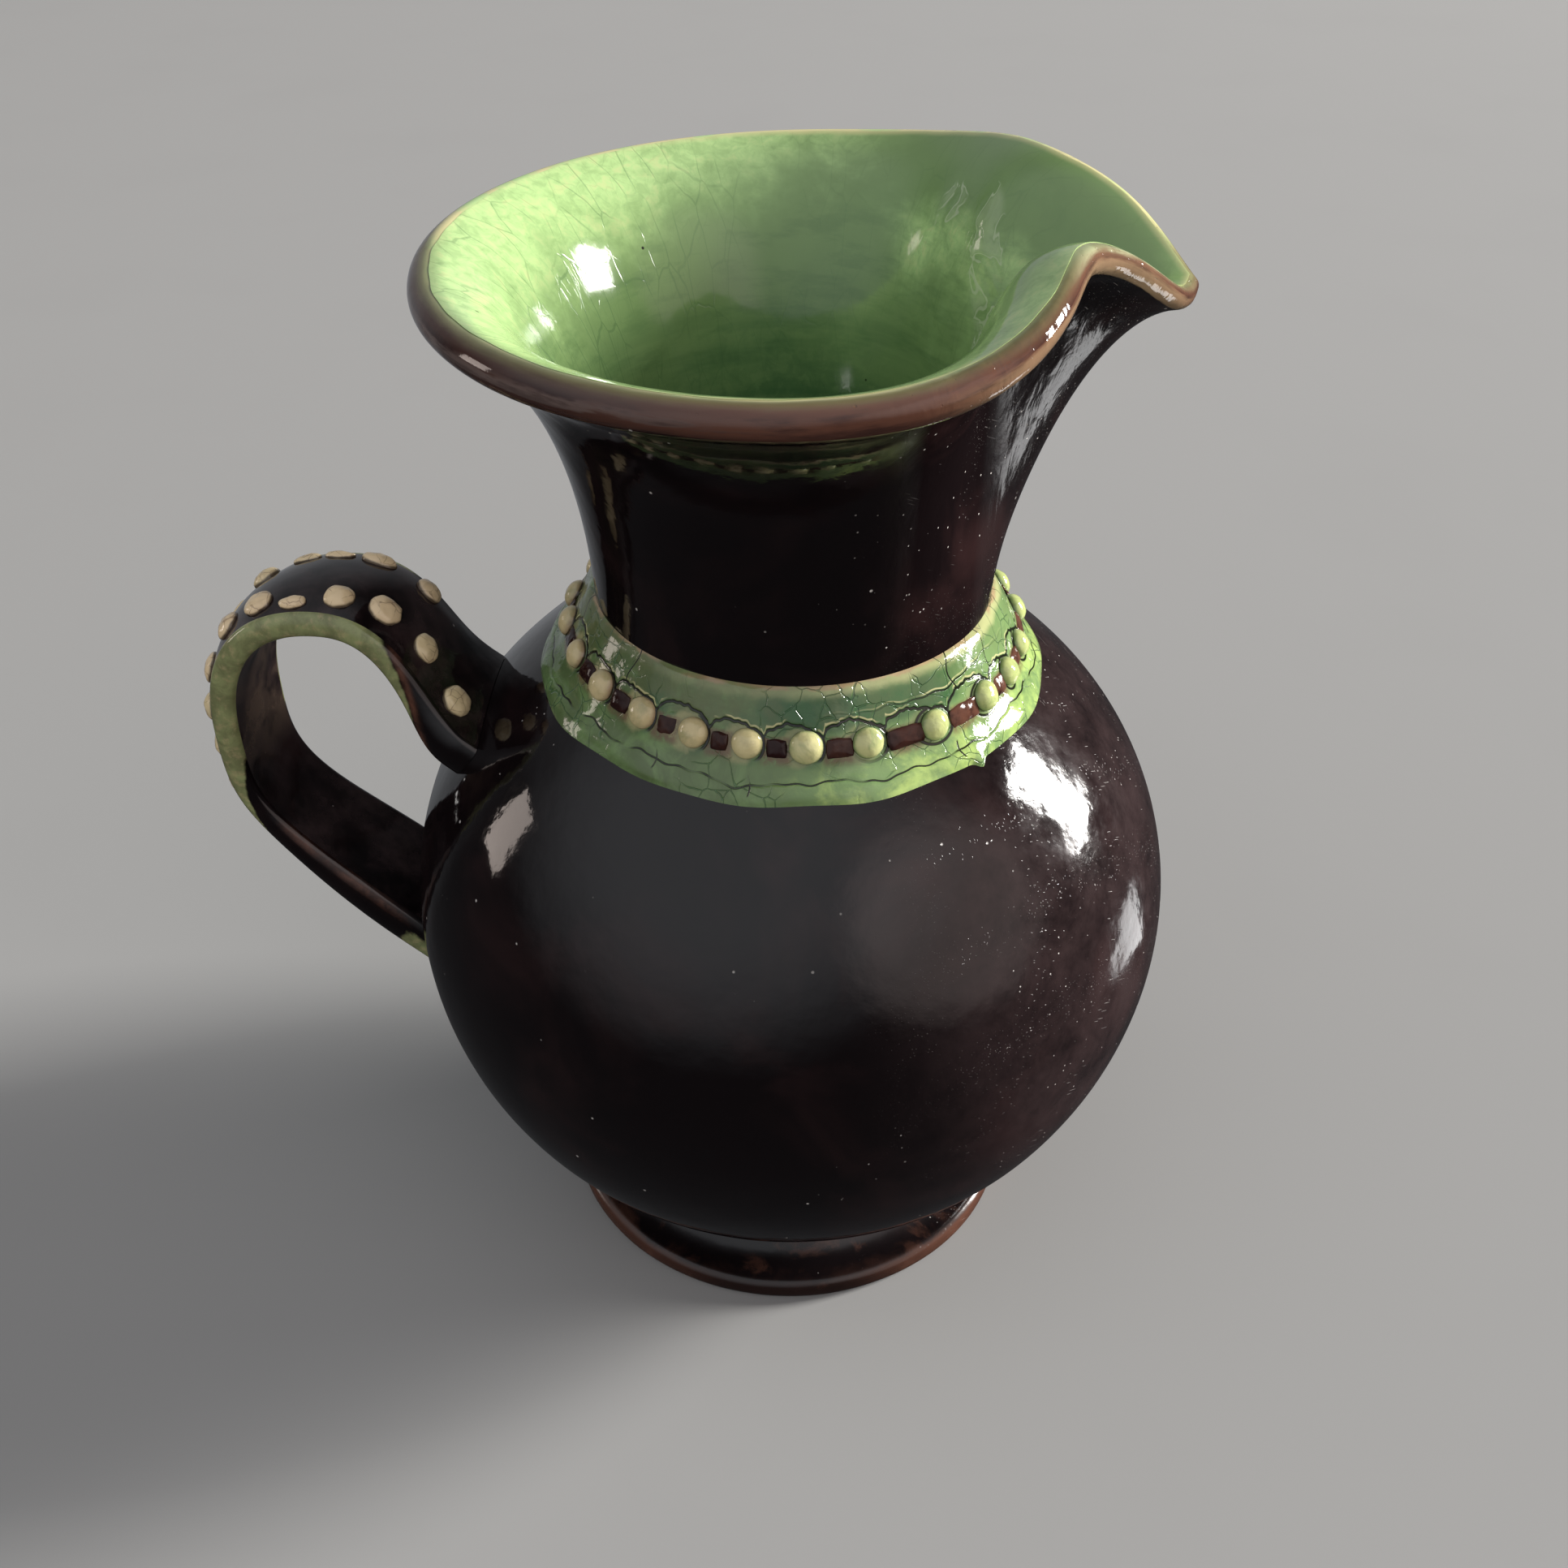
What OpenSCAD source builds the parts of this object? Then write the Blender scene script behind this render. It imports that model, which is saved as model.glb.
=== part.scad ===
// Small hand-thrown pouring jug in glazed earthenware.
// A round body stands on a turned foot and carries a flared neck with a pinched spout.
// A beaded collar covers the neck joint, and a beaded strap handle is luted on behind.
// The origin is the centre of the foot on the table: +Z up, spout along +X, handle along -X.

/* [Body] */
// Radius of the globe at its widest level
body_r = 42; // [38:0.5:46]
// Rise of the whole globe above its widest level
body_rise = 38.4; // [36:0.2:41]
// Drop of the whole globe below its widest level
body_drop = 40.9; // [38:0.2:44]
// Thickness of the globe's wall
body_wall = 4; // [3:0.25:5]
// Thickness of the floor over the foot
floor_t = 5; // [4:0.25:7]

/* [Foot] */
// Radius of the foot's rim
foot_r = 27.3; // [25:0.1:29]
// Height of the foot, up to its seat under the globe
foot_h = 8; // [7:0.2:10]
// Height of the foot's rounded rim
foot_rim_h = 3; // [2.6:0.1:4]
// Radius of the waist where the foot meets the globe
waist_r = 21.2; // [20:0.1:23]
// Radius of the recess turned under the foot
recess_r = 20; // [16:0.5:22]
// Depth of the recess turned under the foot
recess_h = 3.2; // [2:0.1:4]

/* [Neck] */
// Outside radius of the neck at the collar
neck_r = 20.2; // [18:0.1:22]
// Thickness of the neck's wall at the collar
neck_wall = 2.8; // [2:0.1:4]
// Radius of the lip's middle line, away from the spout
rim_r = 33; // [30:0.1:36]
// Height of the lip's middle line over the collar, away from the spout
neck_h = 32.6; // [29:0.1:36]
// Rise of the lip from the handle's side to the middle, and again to the spout's side
rim_tilt = 0.6; // [0:0.1:2]
// Half of the lip's thickness
lip_half = 1.65; // [1.2:0.05:2.2]
// Angle of the lip's flare from the vertical
neck_flare = 68; // [50:1:75]
// Length over which the wall bends into the lip's flare
flare_pull = 14; // [10:0.5:18]
// Length over which the wall leaves the collar upright
neck_pull = 1.5; // [1:0.1:6]

/* [Spout] */
// How far the spout's tip is pulled past the lip's circle
spout_reach = 6; // [2:0.1:8]
// Depth of the pinch in front of the spout
pinch_front = 9.4; // [5:0.1:11]
// Depth of the pinch behind the spout
pinch_back = 7.9; // [5:0.1:11]
// Rise of the lip over the pinch in front
crest_front = 5; // [2:0.1:7]
// Rise of the lip over the pinch behind
crest_back = 3.6; // [2:0.1:7]
// Depth of the pouring dip in the spout's tip
spout_dip = 4.4; // [2:0.1:6]
// Turn of the spout towards the back, in degrees
spout_turn = 2.2; // [0:0.1:5]

/* [Collar] */
// How far the collar's lower edge lies past the neck, on the shoulder
collar_out = 6; // [5.3:0.1:7.8]
// Height of the collar's upper edge over the neck's seat
collar_h = 6; // [5:0.1:8]
// Thickness of the collar's lower edge
collar_edge = 1; // [0.6:0.1:1.6]
// How far the ring that the pearls sit on lies past the neck
row_out = 3.2; // [2.4:0.1:3.8]
// Height of that ring over the shoulder under it
row_lift = 2.1; // [1.8:0.1:2.6]
// Slope of the face that carries the pearls, in degrees
row_lean = 62; // [50:1:75]
// Number of pearls round the collar
pearls = 24; // [18:1:26]
// Turn of the first pearl from the spout, in degrees
pearl_turn = 5.7; // [0:0.1:15]
// Radius of a pearl
pearl_r = 1.55; // [1:0.05:1.8]
// Height of a pearl over the collar
pearl_h = 1.15; // [0.6:0.05:1.6]

/* [Handle] */
// Reach of the handle past the globe's widest level
handle_reach = 18.2; // [15:0.2:22]
// Height of the upper root above the widest level
root_rise = 22.4; // [20:0.2:24]
// Height of the crest above the widest level
crest_rise = 35.6; // [32:0.2:39]
// Height of the outermost point above the widest level
bow_rise = 20.2; // [17:0.2:23]
// Depth of the lower root under the widest level
root_drop = 5.8; // [3:0.2:9]
// Width of the strap between its edges at the upper root
strap_w_top = 12.8; // [11:0.1:15]
// Width of the strap between its edges at the lower root
strap_w_low = 10.2; // [8:0.1:12]
// Thickness of the strap at its edges
strap_t = 2.8; // [2:0.1:3.5]
// Swell of the strap's outer face along its middle
strap_crown = 1; // [0.2:0.1:1.6]
// Bulge of the trailed band along each edge
edge_bulge = 1; // [0.5:0.1:1.5]
// Turn of the handle towards the back, in degrees
handle_turn = 8; // [0:0.5:9]
// Radius of a dot on the handle
dot_r = 1.9; // [1.2:0.05:2]
// Height of a dot over the strap
dot_h = 1.2; // [0.6:0.05:1.6]
// Distance between neighbouring dots along the strap
dot_pitch = 4.8; // [4.5:0.1:7]
// Distance from a dot's middle to the edge of the strap
dot_inset = 2.2; // [2:0.1:3]

/* [Glaze] */
// Thickness of the glaze that lines the inside
glaze_t = 0.5; // [0.3:0.05:0.8]

/* [Hidden] */

// Smoothness: sides of a turned piece, steps of the arcs and of the lofts
turn_steps = 96;
$fn = turn_steps;
globe_steps = 16;
wall_steps = 9;
lip_steps = 6;
strap_steps = 11;
crown_steps = 8;
bulge_steps = 5;
dome_steps = 5;
dome_sides = 24;

// Foot: rounding of the rim, slope of the recess, ledge of the waist round the globe's flat underside
foot_round = 1.2;
recess_slope = 1;
waist_ledge = 0.5;

// Seat of the neck on the shoulder, and the thin gap that luting slip fills
seat_ledge = 0.4;
lute_gap = 0.05;

// Pulled lip: where its swells and dips lie and how far they spread, in degrees round the axis
pinch_turn = 26.4;
pinch_spread = 26;
spout_spread = 40;
crest_turn = 34;
crest_spread = 27.4;
dip_spread = 12.8;
cheek_blend = 40;

// Flare of the wall under the spout: its angle, its length and how far round it spreads
spout_flare = 86;
spout_pull = 10;
flare_spread = 35;

// Collar: lip at the top, half length of the pearl face, lean of the lower edge
collar_lip = 0.5;
row_half = 1.9;
edge_lean = 0.4;

// Dashes between the pearls: half their width, their thickness, their gap to a pearl
dash_half = 1;
dash_t = 0.25;
dash_gap = 0.35;

// Middle line of the handle: angles at its roots and lengths of the pulls that shape its curves
root_angle = 38;
root_pull = 5.5;
crest_out = 5.1;
crest_pull_in = 8;
crest_pull_out = 7.2;
bow_pull_up = 11;
bow_pull_down = 10;
low_angle = 39;
low_pull = 23;

// Flares where the strap is pressed onto the globe: extra width, extra thickness, length as a share
root_spread = 2.6;
root_swell = 0.8;
tail_swell = 1.5;
flare_share = 0.3;

// Dots: distance of the first from the upper root and of the last from the lower root
first_dot = 4.2;
last_dot = 22;

// Shared formulas
function bell(x) = exp(-x * x);
function mix(a, b, k) = a + (b - a) * k;
function unit(v) = v / norm(v);
function backwards(list) = [for (i = [len(list) - 1:-1:0]) list[i]];
function rest(list) = [for (i = [1:len(list) - 1]) list[i]];
function bezier(c, t) =
    pow(1 - t, 3) * c[0] + 3 * t * pow(1 - t, 2) * c[1] + 3 * t * t * (1 - t) * c[2] + pow(t, 3) * c[3];
function bezier_slope(c, t) =
    3 * pow(1 - t, 2) * (c[1] - c[0]) + 6 * t * (1 - t) * (c[2] - c[1]) + 3 * t * t * (c[3] - c[2]);
function arc(middle, rx, rz, from, to, steps) =
    [for (i = [0:steps])
        let (a = mix(from, to, i / steps))
        middle + [rx * cos(a), rz * sin(a)]];
function dome_arc(r, h) = arc([0, 0], r, h, 0, 90, dome_steps);

// Levels, from the table up
base_r = waist_r - waist_ledge;
seat_r = neck_r + seat_ledge;
throat_r = neck_r - neck_wall;
collar_r = neck_r + collar_out;
row_r = neck_r + row_out;
body_z = foot_h + body_drop * sqrt(1 - pow(base_r / body_r, 2));
floor_z = foot_h + floor_t;
function shoulder_z(r) = body_z + body_rise * sqrt(1 - pow(r / body_r, 2));
seat_z = shoulder_z(seat_r);
row_z = shoulder_z(row_r) + row_lift;
collar_top_z = seat_z + collar_h;
rim_z = collar_top_z + neck_h;

// Outline of the globe, outside and inside
globe = [0, body_z];
base_angle = acos(base_r / body_r);
collar_angle = acos(collar_r / body_r);
seat_angle = acos(seat_r / body_r);
outer_belly = arc(globe, body_r, body_drop, -base_angle, 0, globe_steps);
outer_shoulder = arc(globe, body_r, body_rise, 0, collar_angle, globe_steps);
under_collar = arc(globe, body_r, body_rise, collar_angle, seat_angle, bulge_steps);
function globe_r(z) =
    let (k = z > body_z ? (z - body_z) / body_rise : (body_z - z) / body_drop)
    body_r * sqrt(1 - k * k);

// Inside of the globe from the floor to the throat, at a depth under the wall's own inside
function inside(depth) =
    let (inset = body_wall + depth,
         bore = throat_r - depth,
         from = asin((body_z - floor_z - depth) / (body_drop - inset)),
         to = acos(bore / (body_r - inset)))
    concat([[0, floor_z + depth]],
           arc(globe, body_r - inset, body_drop - inset, -from, 0, globe_steps),
           rest(arc(globe, body_r - inset, body_rise - inset, 0, to, globe_steps)),
           [[bore, seat_z]]);

// Faces of a loft: two triangles between neighbouring points of neighbouring rings
function band(i, k, points) =
    [for (j = [0:points - 1])
        let (m = (j + 1) % points)
        for (f = [[i * points + j, i * points + m, k * points + m],
                  [i * points + j, k * points + m, k * points + j]]) f];
function ladder(first, points) =
    [for (j = [0:points / 2 - 2])
        for (f = [[first + j, first + points - 2 - j, first + j + 1],
                  [first + j, first + points - 1 - j, first + points - 2 - j]]) f];
function flipped(faces) = [for (f = faces) backwards(f)];
function hoop_faces(rings, points) = [for (i = [0:rings - 1]) for (f = band(i, (i + 1) % rings, points)) f];
function bar_faces(rings, points) =
    concat(ladder(0, points),
           [for (i = [0:rings - 2]) for (f = band(i, i + 1, points)) f],
           flipped(ladder((rings - 1) * points, points)));

// Lip of the neck: radius and height of its middle line at an angle from the spout
function cheek(front, back, q) =
    mix(front, back, (1 + sin(max(-90, min(90, q * 90 / cheek_blend)))) / 2);
function lip_r(q) =
    let (s = q - spout_turn)
    rim_r + spout_reach * bell(s / spout_spread)
    - cheek(pinch_front, pinch_back, s) * bell((abs(s) - pinch_turn) / pinch_spread);
function lip_z(q) =
    rim_z + rim_tilt * cos(q) - spout_dip * bell(q / dip_spread)
    + cheek(crest_front, crest_back, q) * bell((abs(q) - crest_turn) / crest_spread);
function lip(q) = [lip_r(q), lip_z(q)];
function flare(q) = mix(neck_flare, spout_flare, bell(q / flare_spread));
function pull(q) = mix(flare_pull, spout_pull, bell(q / flare_spread));

// One wall of the neck at an angle from the spout, from the collar up to the lip
function wall_control(q, base_r, side) =
    let (a = flare(q),
         end = lip(q) + side * lip_half * [cos(a), -sin(a)],
         base = [base_r, collar_top_z])
    [base, base + [0, neck_pull], end - pull(q) * [sin(a), cos(a)], end];
function wall(q, base_r, side) =
    let (c = wall_control(q, base_r, side))
    [for (i = [0:wall_steps]) bezier(c, i / wall_steps)];
function lip_arc(q) =
    [for (i = [1:lip_steps - 1])
        let (a = 180 * i / lip_steps - flare(q))
        lip(q) + lip_half * [cos(a), sin(a)]];
function neck_section(q) =
    concat([[neck_r, seat_z]], wall(q, neck_r, 1), lip_arc(q), backwards(wall(q, throat_r, -1)),
           [[throat_r, seat_z]]);

// Glaze on the inside of the neck: the wall's own points, and the same points moved inwards
function glazed(q) =
    let (c = wall_control(q, throat_r, -1))
    [for (i = [0:wall_steps])
        let (t = i / wall_steps, d = unit(bezier_slope(c, t)))
        bezier(c, t) + glaze_t * [-d[1], d[0]]];
function lining_section(q) =
    concat(backwards(wall(q, throat_r, -1)), [[throat_r, seat_z], [throat_r - glaze_t, seat_z]], glazed(q));

function signed(q) = q > 180 ? q - 360 : q;
turn_angles = [for (i = [0:turn_steps - 1]) signed(360 * i / turn_steps)];
function turned(sections) =
    [for (i = [0:turn_steps - 1], p = sections[i])
        [p[0] * cos(turn_angles[i]), p[0] * sin(turn_angles[i]), p[1]]];

// Middle line of the strap as three curves: root to crest, crest to bow, bow to lower root
root_top = [globe_r(body_z + root_rise), body_z + root_rise];
root_low = [globe_r(body_z - root_drop), body_z - root_drop];
crest = [body_r + crest_out, body_z + crest_rise];
bow = [body_r + handle_reach, body_z + bow_rise];
climb = [root_top, root_top + root_pull * [cos(root_angle), sin(root_angle)],
         crest - [crest_pull_in, 0], crest];
over = [crest, crest + [crest_pull_out, 0], bow + [0, bow_pull_up], bow];
fall = [bow, bow - [0, bow_pull_down],
        root_low + low_pull * [cos(low_angle), sin(low_angle)], root_low];
runs = [climb, over, fall];

// A station of the strap: place, direction, share of the way, flare at the upper and at the lower root
function station(run, t) =
    [bezier(runs[run], t), unit(bezier_slope(runs[run], t)), (run + t) / len(runs),
     run == 0 ? bell(t / flare_share) : 0, run == 2 ? bell((1 - t) / flare_share) : 0];
stations = concat([station(0, 0)],
                  [for (i = [2:strap_steps]) station(0, i / strap_steps)],
                  [for (i = [1:strap_steps]) station(1, i / strap_steps)],
                  [for (i = [1:strap_steps - 2]) station(2, i / strap_steps)],
                  [station(2, 1)]);
last = len(stations) - 1;

// Cross-section of the strap at a station: half width, and heights of its faces over the middle line
function half_w(s) = (mix(strap_w_top, strap_w_low, s[2]) + root_spread * (s[3] + s[4])) / 2;
function inner_n(s) = -strap_t / 2 - root_swell * (s[3] + s[4]);
function edge_n(s) = strap_t / 2 + root_swell * s[3] + tail_swell * s[4];
function outer_n(s, y) = edge_n(s) + strap_crown * (1 - pow(y / half_w(s), 2));
function out_of(s) = [-s[1][1], s[1][0]];
function strap_point(s, y, n) =
    let (p = s[0] + n * out_of(s))
    [-p[0], y, p[1]];
function strap_ring(s) =
    let (h = half_w(s))
    concat([for (i = [0:crown_steps]) strap_point(s, mix(-h, h, i / crown_steps), inner_n(s))],
           [for (i = [0:crown_steps])
               let (y = mix(h, -h, i / crown_steps))
               strap_point(s, y, outer_n(s, y))]);
function edge_ring(s, side) =
    let (h = half_w(s), low = inner_n(s), high = edge_n(s))
    [for (i = [0:bulge_steps])
        let (a = 180 * i / bulge_steps - 90)
        strap_point(s, side * (h + edge_bulge * cos(a)), mix(low, high, (1 + sin(a)) / 2))];

// Where a line along the strap lands on the globe, whose axis lies off the strap's own plane
hub = root_top[0] * [cos(handle_turn) - 1, sin(handle_turn)];
function landing(p, d) =
    let (r = body_r + lute_gap,
         h = (p[2] > body_z ? body_rise : body_drop) + lute_gap,
         q = [(p[0] - hub[0]) / r, (p[1] - hub[1]) / r, (p[2] - body_z) / h],
         e = [d[0] / r, d[1] / r, d[2] / h],
         reach = sqrt(pow(q * e, 2) - (e * e) * (q * q - 1)))
    p + d * (sign(q * e) * reach - q * e) / (e * e);
function landed(s, ring) = [for (p = ring) landing(p, [-s[1][0], 0, s[1][1]])];
function seated(k, ring) = k == 0 || k == last ? landed(stations[k], ring) : ring;

// Lengths along the strap, and the station at a given length
function lengths(i) =
    i == 0 ? [0] :
    let (l = lengths(i - 1))
    concat(l, [l[i - 1] + norm(stations[i][0] - stations[i - 1][0])]);
strap_lengths = lengths(last);
dotted_end = strap_lengths[last] - last_dot;
function station_at(length) =
    let (i = [for (k = [1:last]) if (strap_lengths[k] >= length) k][0],
         f = (length - strap_lengths[i - 1]) / (strap_lengths[i] - strap_lengths[i - 1]),
         a = stations[i - 1],
         b = stations[i])
    [mix(a[0], b[0], f), unit(mix(a[1], b[1], f)), for (j = [2:4]) mix(a[j], b[j], f)];

// The handle's own plane, turned about the line through its upper root
module on_handle() {
    translate([-root_top[0], 0, 0])
        rotate(-handle_turn)
            translate([root_top[0], 0, 0])
                children();
}

module loft(rings, faces) {
    polyhedron([for (r = rings, p = r) p], faces);
}

module dome(r, h) {
    rotate_extrude($fn = dome_sides)
        polygon(concat([[0, 0]], dome_arc(r, h)));
}

module body() {
    color("#231a1a")
        rotate_extrude()
            polygon(concat([[0, foot_h]], outer_belly, rest(outer_shoulder), rest(under_collar),
                           backwards(inside(0))));
}

module body_lining() {
    color("#2f5a33")
        rotate_extrude()
            polygon(concat(inside(0), backwards(inside(glaze_t))));
}

module foot() {
    rim = foot_r - foot_round;
    lower_round = arc([rim, foot_round], foot_round, foot_round, -90, 0, bulge_steps);
    upper_round = arc([rim, foot_rim_h - foot_round], foot_round, foot_round, 0, 90, bulge_steps);
    waist = arc([rim, foot_h], waist_r - rim, foot_rim_h - foot_h, 90, 0, bulge_steps);
    color("#2a1c1a")
        rotate_extrude()
            polygon(concat([[0, recess_h], [recess_r - recess_slope, recess_h], [recess_r, 0]],
                           lower_round, upper_round, rest(waist), [[0, foot_h]]));
}

module neck() {
    sections = [for (q = turn_angles) neck_section(q)];
    color("#241c1c")
        polyhedron(turned(sections), hoop_faces(turn_steps, len(sections[0])));
}

module neck_lining() {
    sections = [for (q = turn_angles) lining_section(q)];
    color("#5c8f3c")
        polyhedron(turned(sections), flipped(hoop_faces(turn_steps, len(sections[0]))));
}

// Face of the collar that carries the pearls: its middle, its slope and its normal, in the collar's outline
row = [row_r, row_z];
row_slope = [-cos(row_lean), sin(row_lean)];
row_normal = [sin(row_lean), cos(row_lean)];

module collar() {
    bore = neck_r + lute_gap;
    color("#4c8a45")
        rotate_extrude()
            polygon(concat([[bore, collar_top_z], [bore, seat_z]],
                           backwards(under_collar),
                           [under_collar[0] + [-edge_lean, collar_edge],
                            row - row_half * row_slope,
                            row + row_half * row_slope,
                            [neck_r + collar_lip, collar_top_z]]));
}

module collar_dashes() {
    pitch = 360 / pearls;
    span = pitch - 2 * atan((pearl_r + dash_gap) / row_r);
    low = row - dash_half * row_slope;
    high = row + dash_half * row_slope;
    color("#3a1a14")
        for (i = [0:pearls - 1])
            rotate(pearl_turn + i * pitch + (pitch - span) / 2)
                rotate_extrude(angle = span)
                    polygon([low, low + dash_t * row_normal, high + dash_t * row_normal, high]);
}

module collar_pearls() {
    color("#c9c27a")
        for (i = [0:pearls - 1])
            rotate(pearl_turn + i * 360 / pearls)
                translate([row_r, 0, row_z])
                    rotate([0, row_lean, 0])
                        dome(pearl_r, pearl_h);
}

module handle() {
    rings = [for (k = [0:last]) seated(k, strap_ring(stations[k]))];
    color("#211a1b")
        on_handle()
            loft(rings, bar_faces(len(rings), len(rings[0])));
}

module handle_edge(side) {
    rings = [for (k = [0:last]) seated(k, edge_ring(stations[k], side))];
    faces = bar_faces(len(rings), len(rings[0]));
    color("#5b7f45")
        on_handle()
            loft(rings, side > 0 ? faces : flipped(faces));
}

module handle_edge_front() {
    handle_edge(-1);
}

module handle_edge_back() {
    handle_edge(1);
}

module handle_dots(side) {
    color("#b79b6c")
        on_handle()
            for (length = [first_dot:dot_pitch:dotted_end])
                let (s = station_at(length),
                     y = side * (half_w(s) - dot_inset),
                     tilt = atan(2 * strap_crown * abs(y) / pow(half_w(s), 2)),
                     n = out_of(s))
                translate(strap_point(s, y, outer_n(s, y)))
                    rotate([0, atan2(-n[0], n[1]), 0])
                        rotate([-side * tilt, 0, 0])
                            dome(dot_r, dot_h);
}

module handle_dots_front() {
    handle_dots(-1);
}

module handle_dots_back() {
    handle_dots(1);
}

body();
body_lining();
foot();
neck();
neck_lining();
collar();
collar_dashes();
collar_pearls();
handle();
handle_edge_front();
handle_edge_back();
handle_dots_front();
handle_dots_back();
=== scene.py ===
"""A glazed earthenware pouring jug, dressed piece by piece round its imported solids."""
import math

import bmesh
import bpy
import numpy as np
from bpy.props import FloatProperty, FloatVectorProperty, IntProperty, PointerProperty
from bpy.types import NodeSocket, Operator, Panel, PropertyGroup
from mathutils import Matrix, Vector


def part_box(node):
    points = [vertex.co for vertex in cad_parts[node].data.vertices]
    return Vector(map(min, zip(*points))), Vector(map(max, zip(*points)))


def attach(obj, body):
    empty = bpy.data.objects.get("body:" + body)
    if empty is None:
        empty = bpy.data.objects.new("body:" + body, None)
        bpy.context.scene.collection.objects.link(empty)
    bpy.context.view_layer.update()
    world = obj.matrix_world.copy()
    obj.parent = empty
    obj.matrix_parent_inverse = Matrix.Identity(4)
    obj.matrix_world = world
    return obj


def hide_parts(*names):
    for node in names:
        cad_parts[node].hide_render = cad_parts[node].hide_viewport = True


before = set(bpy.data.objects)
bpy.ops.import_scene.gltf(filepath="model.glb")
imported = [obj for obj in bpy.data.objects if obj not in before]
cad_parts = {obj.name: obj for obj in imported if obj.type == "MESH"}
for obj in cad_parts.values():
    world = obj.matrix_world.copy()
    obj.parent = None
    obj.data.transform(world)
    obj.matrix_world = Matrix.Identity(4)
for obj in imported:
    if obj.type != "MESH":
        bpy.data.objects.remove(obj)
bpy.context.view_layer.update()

bl_info = {
    "name": "Beaded pouring jug",
    "version": (1, 0, 0),
    "blender": (4, 5, 0),
    "location": "View3D > Sidebar > Jug",
    "description": "Builds a glazed jug with a pinched spout, a beaded collar and a beaded strap handle",
    "category": "Add Mesh",
}

MM = 0.001
BODY = "root"

# Photograph's frame, in pixels
PHOTO_SIDE = 1932

# Seeds of the random draws
CRACK_SEED = 11
BEAD_SEED = 21
DOT_SEED = 31

# Drift of each pearl from its even place round the collar, in degrees from the spout
PEARL_DRIFT = (
    0.6, -1.2, 0.9, 1.6, -0.8, -1.5, 0.4, 1.1, -0.6, -1.7, 0.8, 1.3,
    -0.5, 0.3, 0.9, 1.2, 0.7, -1.1, -2.3, -2.7, 0, 2.9, 0.5, -1,
)

# Dots of the handle in mm: length from the root, inset from the edge, half length, half width
FRONT_DOTS = (
    (3.7, 2.5, 1.8, 1.7), (9.8, 3.3, 1.6, 1.55), (14.6, 3.1, 1.8, 1.65), (18.3, 2.3, 1.6, 1.5),
    (22.4, 1.2, 1.5, 0.85), (26.2, 2.2, 1.75, 1.55), (30.6, 2.4, 1.6, 1.6), (35.9, 2.3, 1.7, 1.55),
    (40.6, 2.3, 1.65, 1.5), (45.3, 2.2, 1.6, 1.5), (50, 2.3, 1.6, 1.5),
)
BACK_DOTS = (
    (12.3, 1.4, 1.6, 1.4), (17.2, 1.3, 1.9, 1.2), (20.9, 1.1, 1.7, 0.75), (24.3, 1.1, 1.7, 0.7),
    (28.6, 2, 1.6, 1.5), (33.2, 2.2, 1.65, 1.5), (37.9, 2.1, 1.6, 1.55),
    (42.5, 2.3, 1.6, 1.5), (47.1, 2.2, 1.65, 1.5), (51.6, 2.3, 1.55, 1.5),
)


# Settings that a user may change
def length(name, millimetres, text):
    """A length, given in millimetres and kept in metres."""
    return FloatProperty(
        name=name, description=text, default=millimetres * MM,
        unit="LENGTH", subtype="DISTANCE", precision=4)


def turn(name, degrees, text):
    """An angle, given in degrees and kept in radians."""
    return FloatProperty(name=name, description=text, default=math.radians(degrees), subtype="ANGLE")


def number(name, default, text, subtype="NONE"):
    """A plain number, or one of a kind of its own."""
    return FloatProperty(name=name, description=text, default=default, subtype=subtype)


def tint(name, colour, text):
    """A colour of glaze or light."""
    return FloatVectorProperty(
        name=name, description=text, default=colour, size=3, min=0, max=1, subtype="COLOR")


class JugGlobe(PropertyGroup):
    """Sizes of the round body."""
    radius: length("Radius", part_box("body")[1].x / MM, "Radius of the globe at its widest level")
    rise: length("Rise", 38.4, "Rise of the whole globe above its widest level")
    drop: length("Drop", 40.9, "Drop of the whole globe below its widest level")
    wall: length("Wall", 4, "Thickness of the globe's wall")
    floor: length("Floor", 5, "Thickness of the floor over the foot")
    lining: length("Lining", 0.5, "Thickness of the glaze that lines the inside")
    dent: length("Dents", 0.16, "Depth of the slight dents that the hand leaves in the wall")
    dent_size: length("Dent size", 17, "Width of these dents")


class JugFoot(PropertyGroup):
    """Sizes of the turned foot."""
    radius: length("Radius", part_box("foot")[1].x / MM, "Radius of the foot's rim")
    height: length("Height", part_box("foot")[1].z / MM, "Height of the foot up to its seat under the globe")
    rim: length("Rim height", 3, "Height of the rounded rim")
    rounding: length("Rounding", 1.2, "Radius of the rim's rounding")
    waist: length("Waist", 21.2, "Radius of the waist where the foot meets the globe")
    ledge: length("Waist ledge", 0.5, "Width of the ledge round the globe's flat underside")
    recess: length("Recess", 20, "Radius of the recess turned under the foot")
    recess_depth: length("Recess depth", 3.2, "Depth of that recess")
    recess_slope: length("Recess slope", 1, "Slope of the recess's side")


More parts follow.
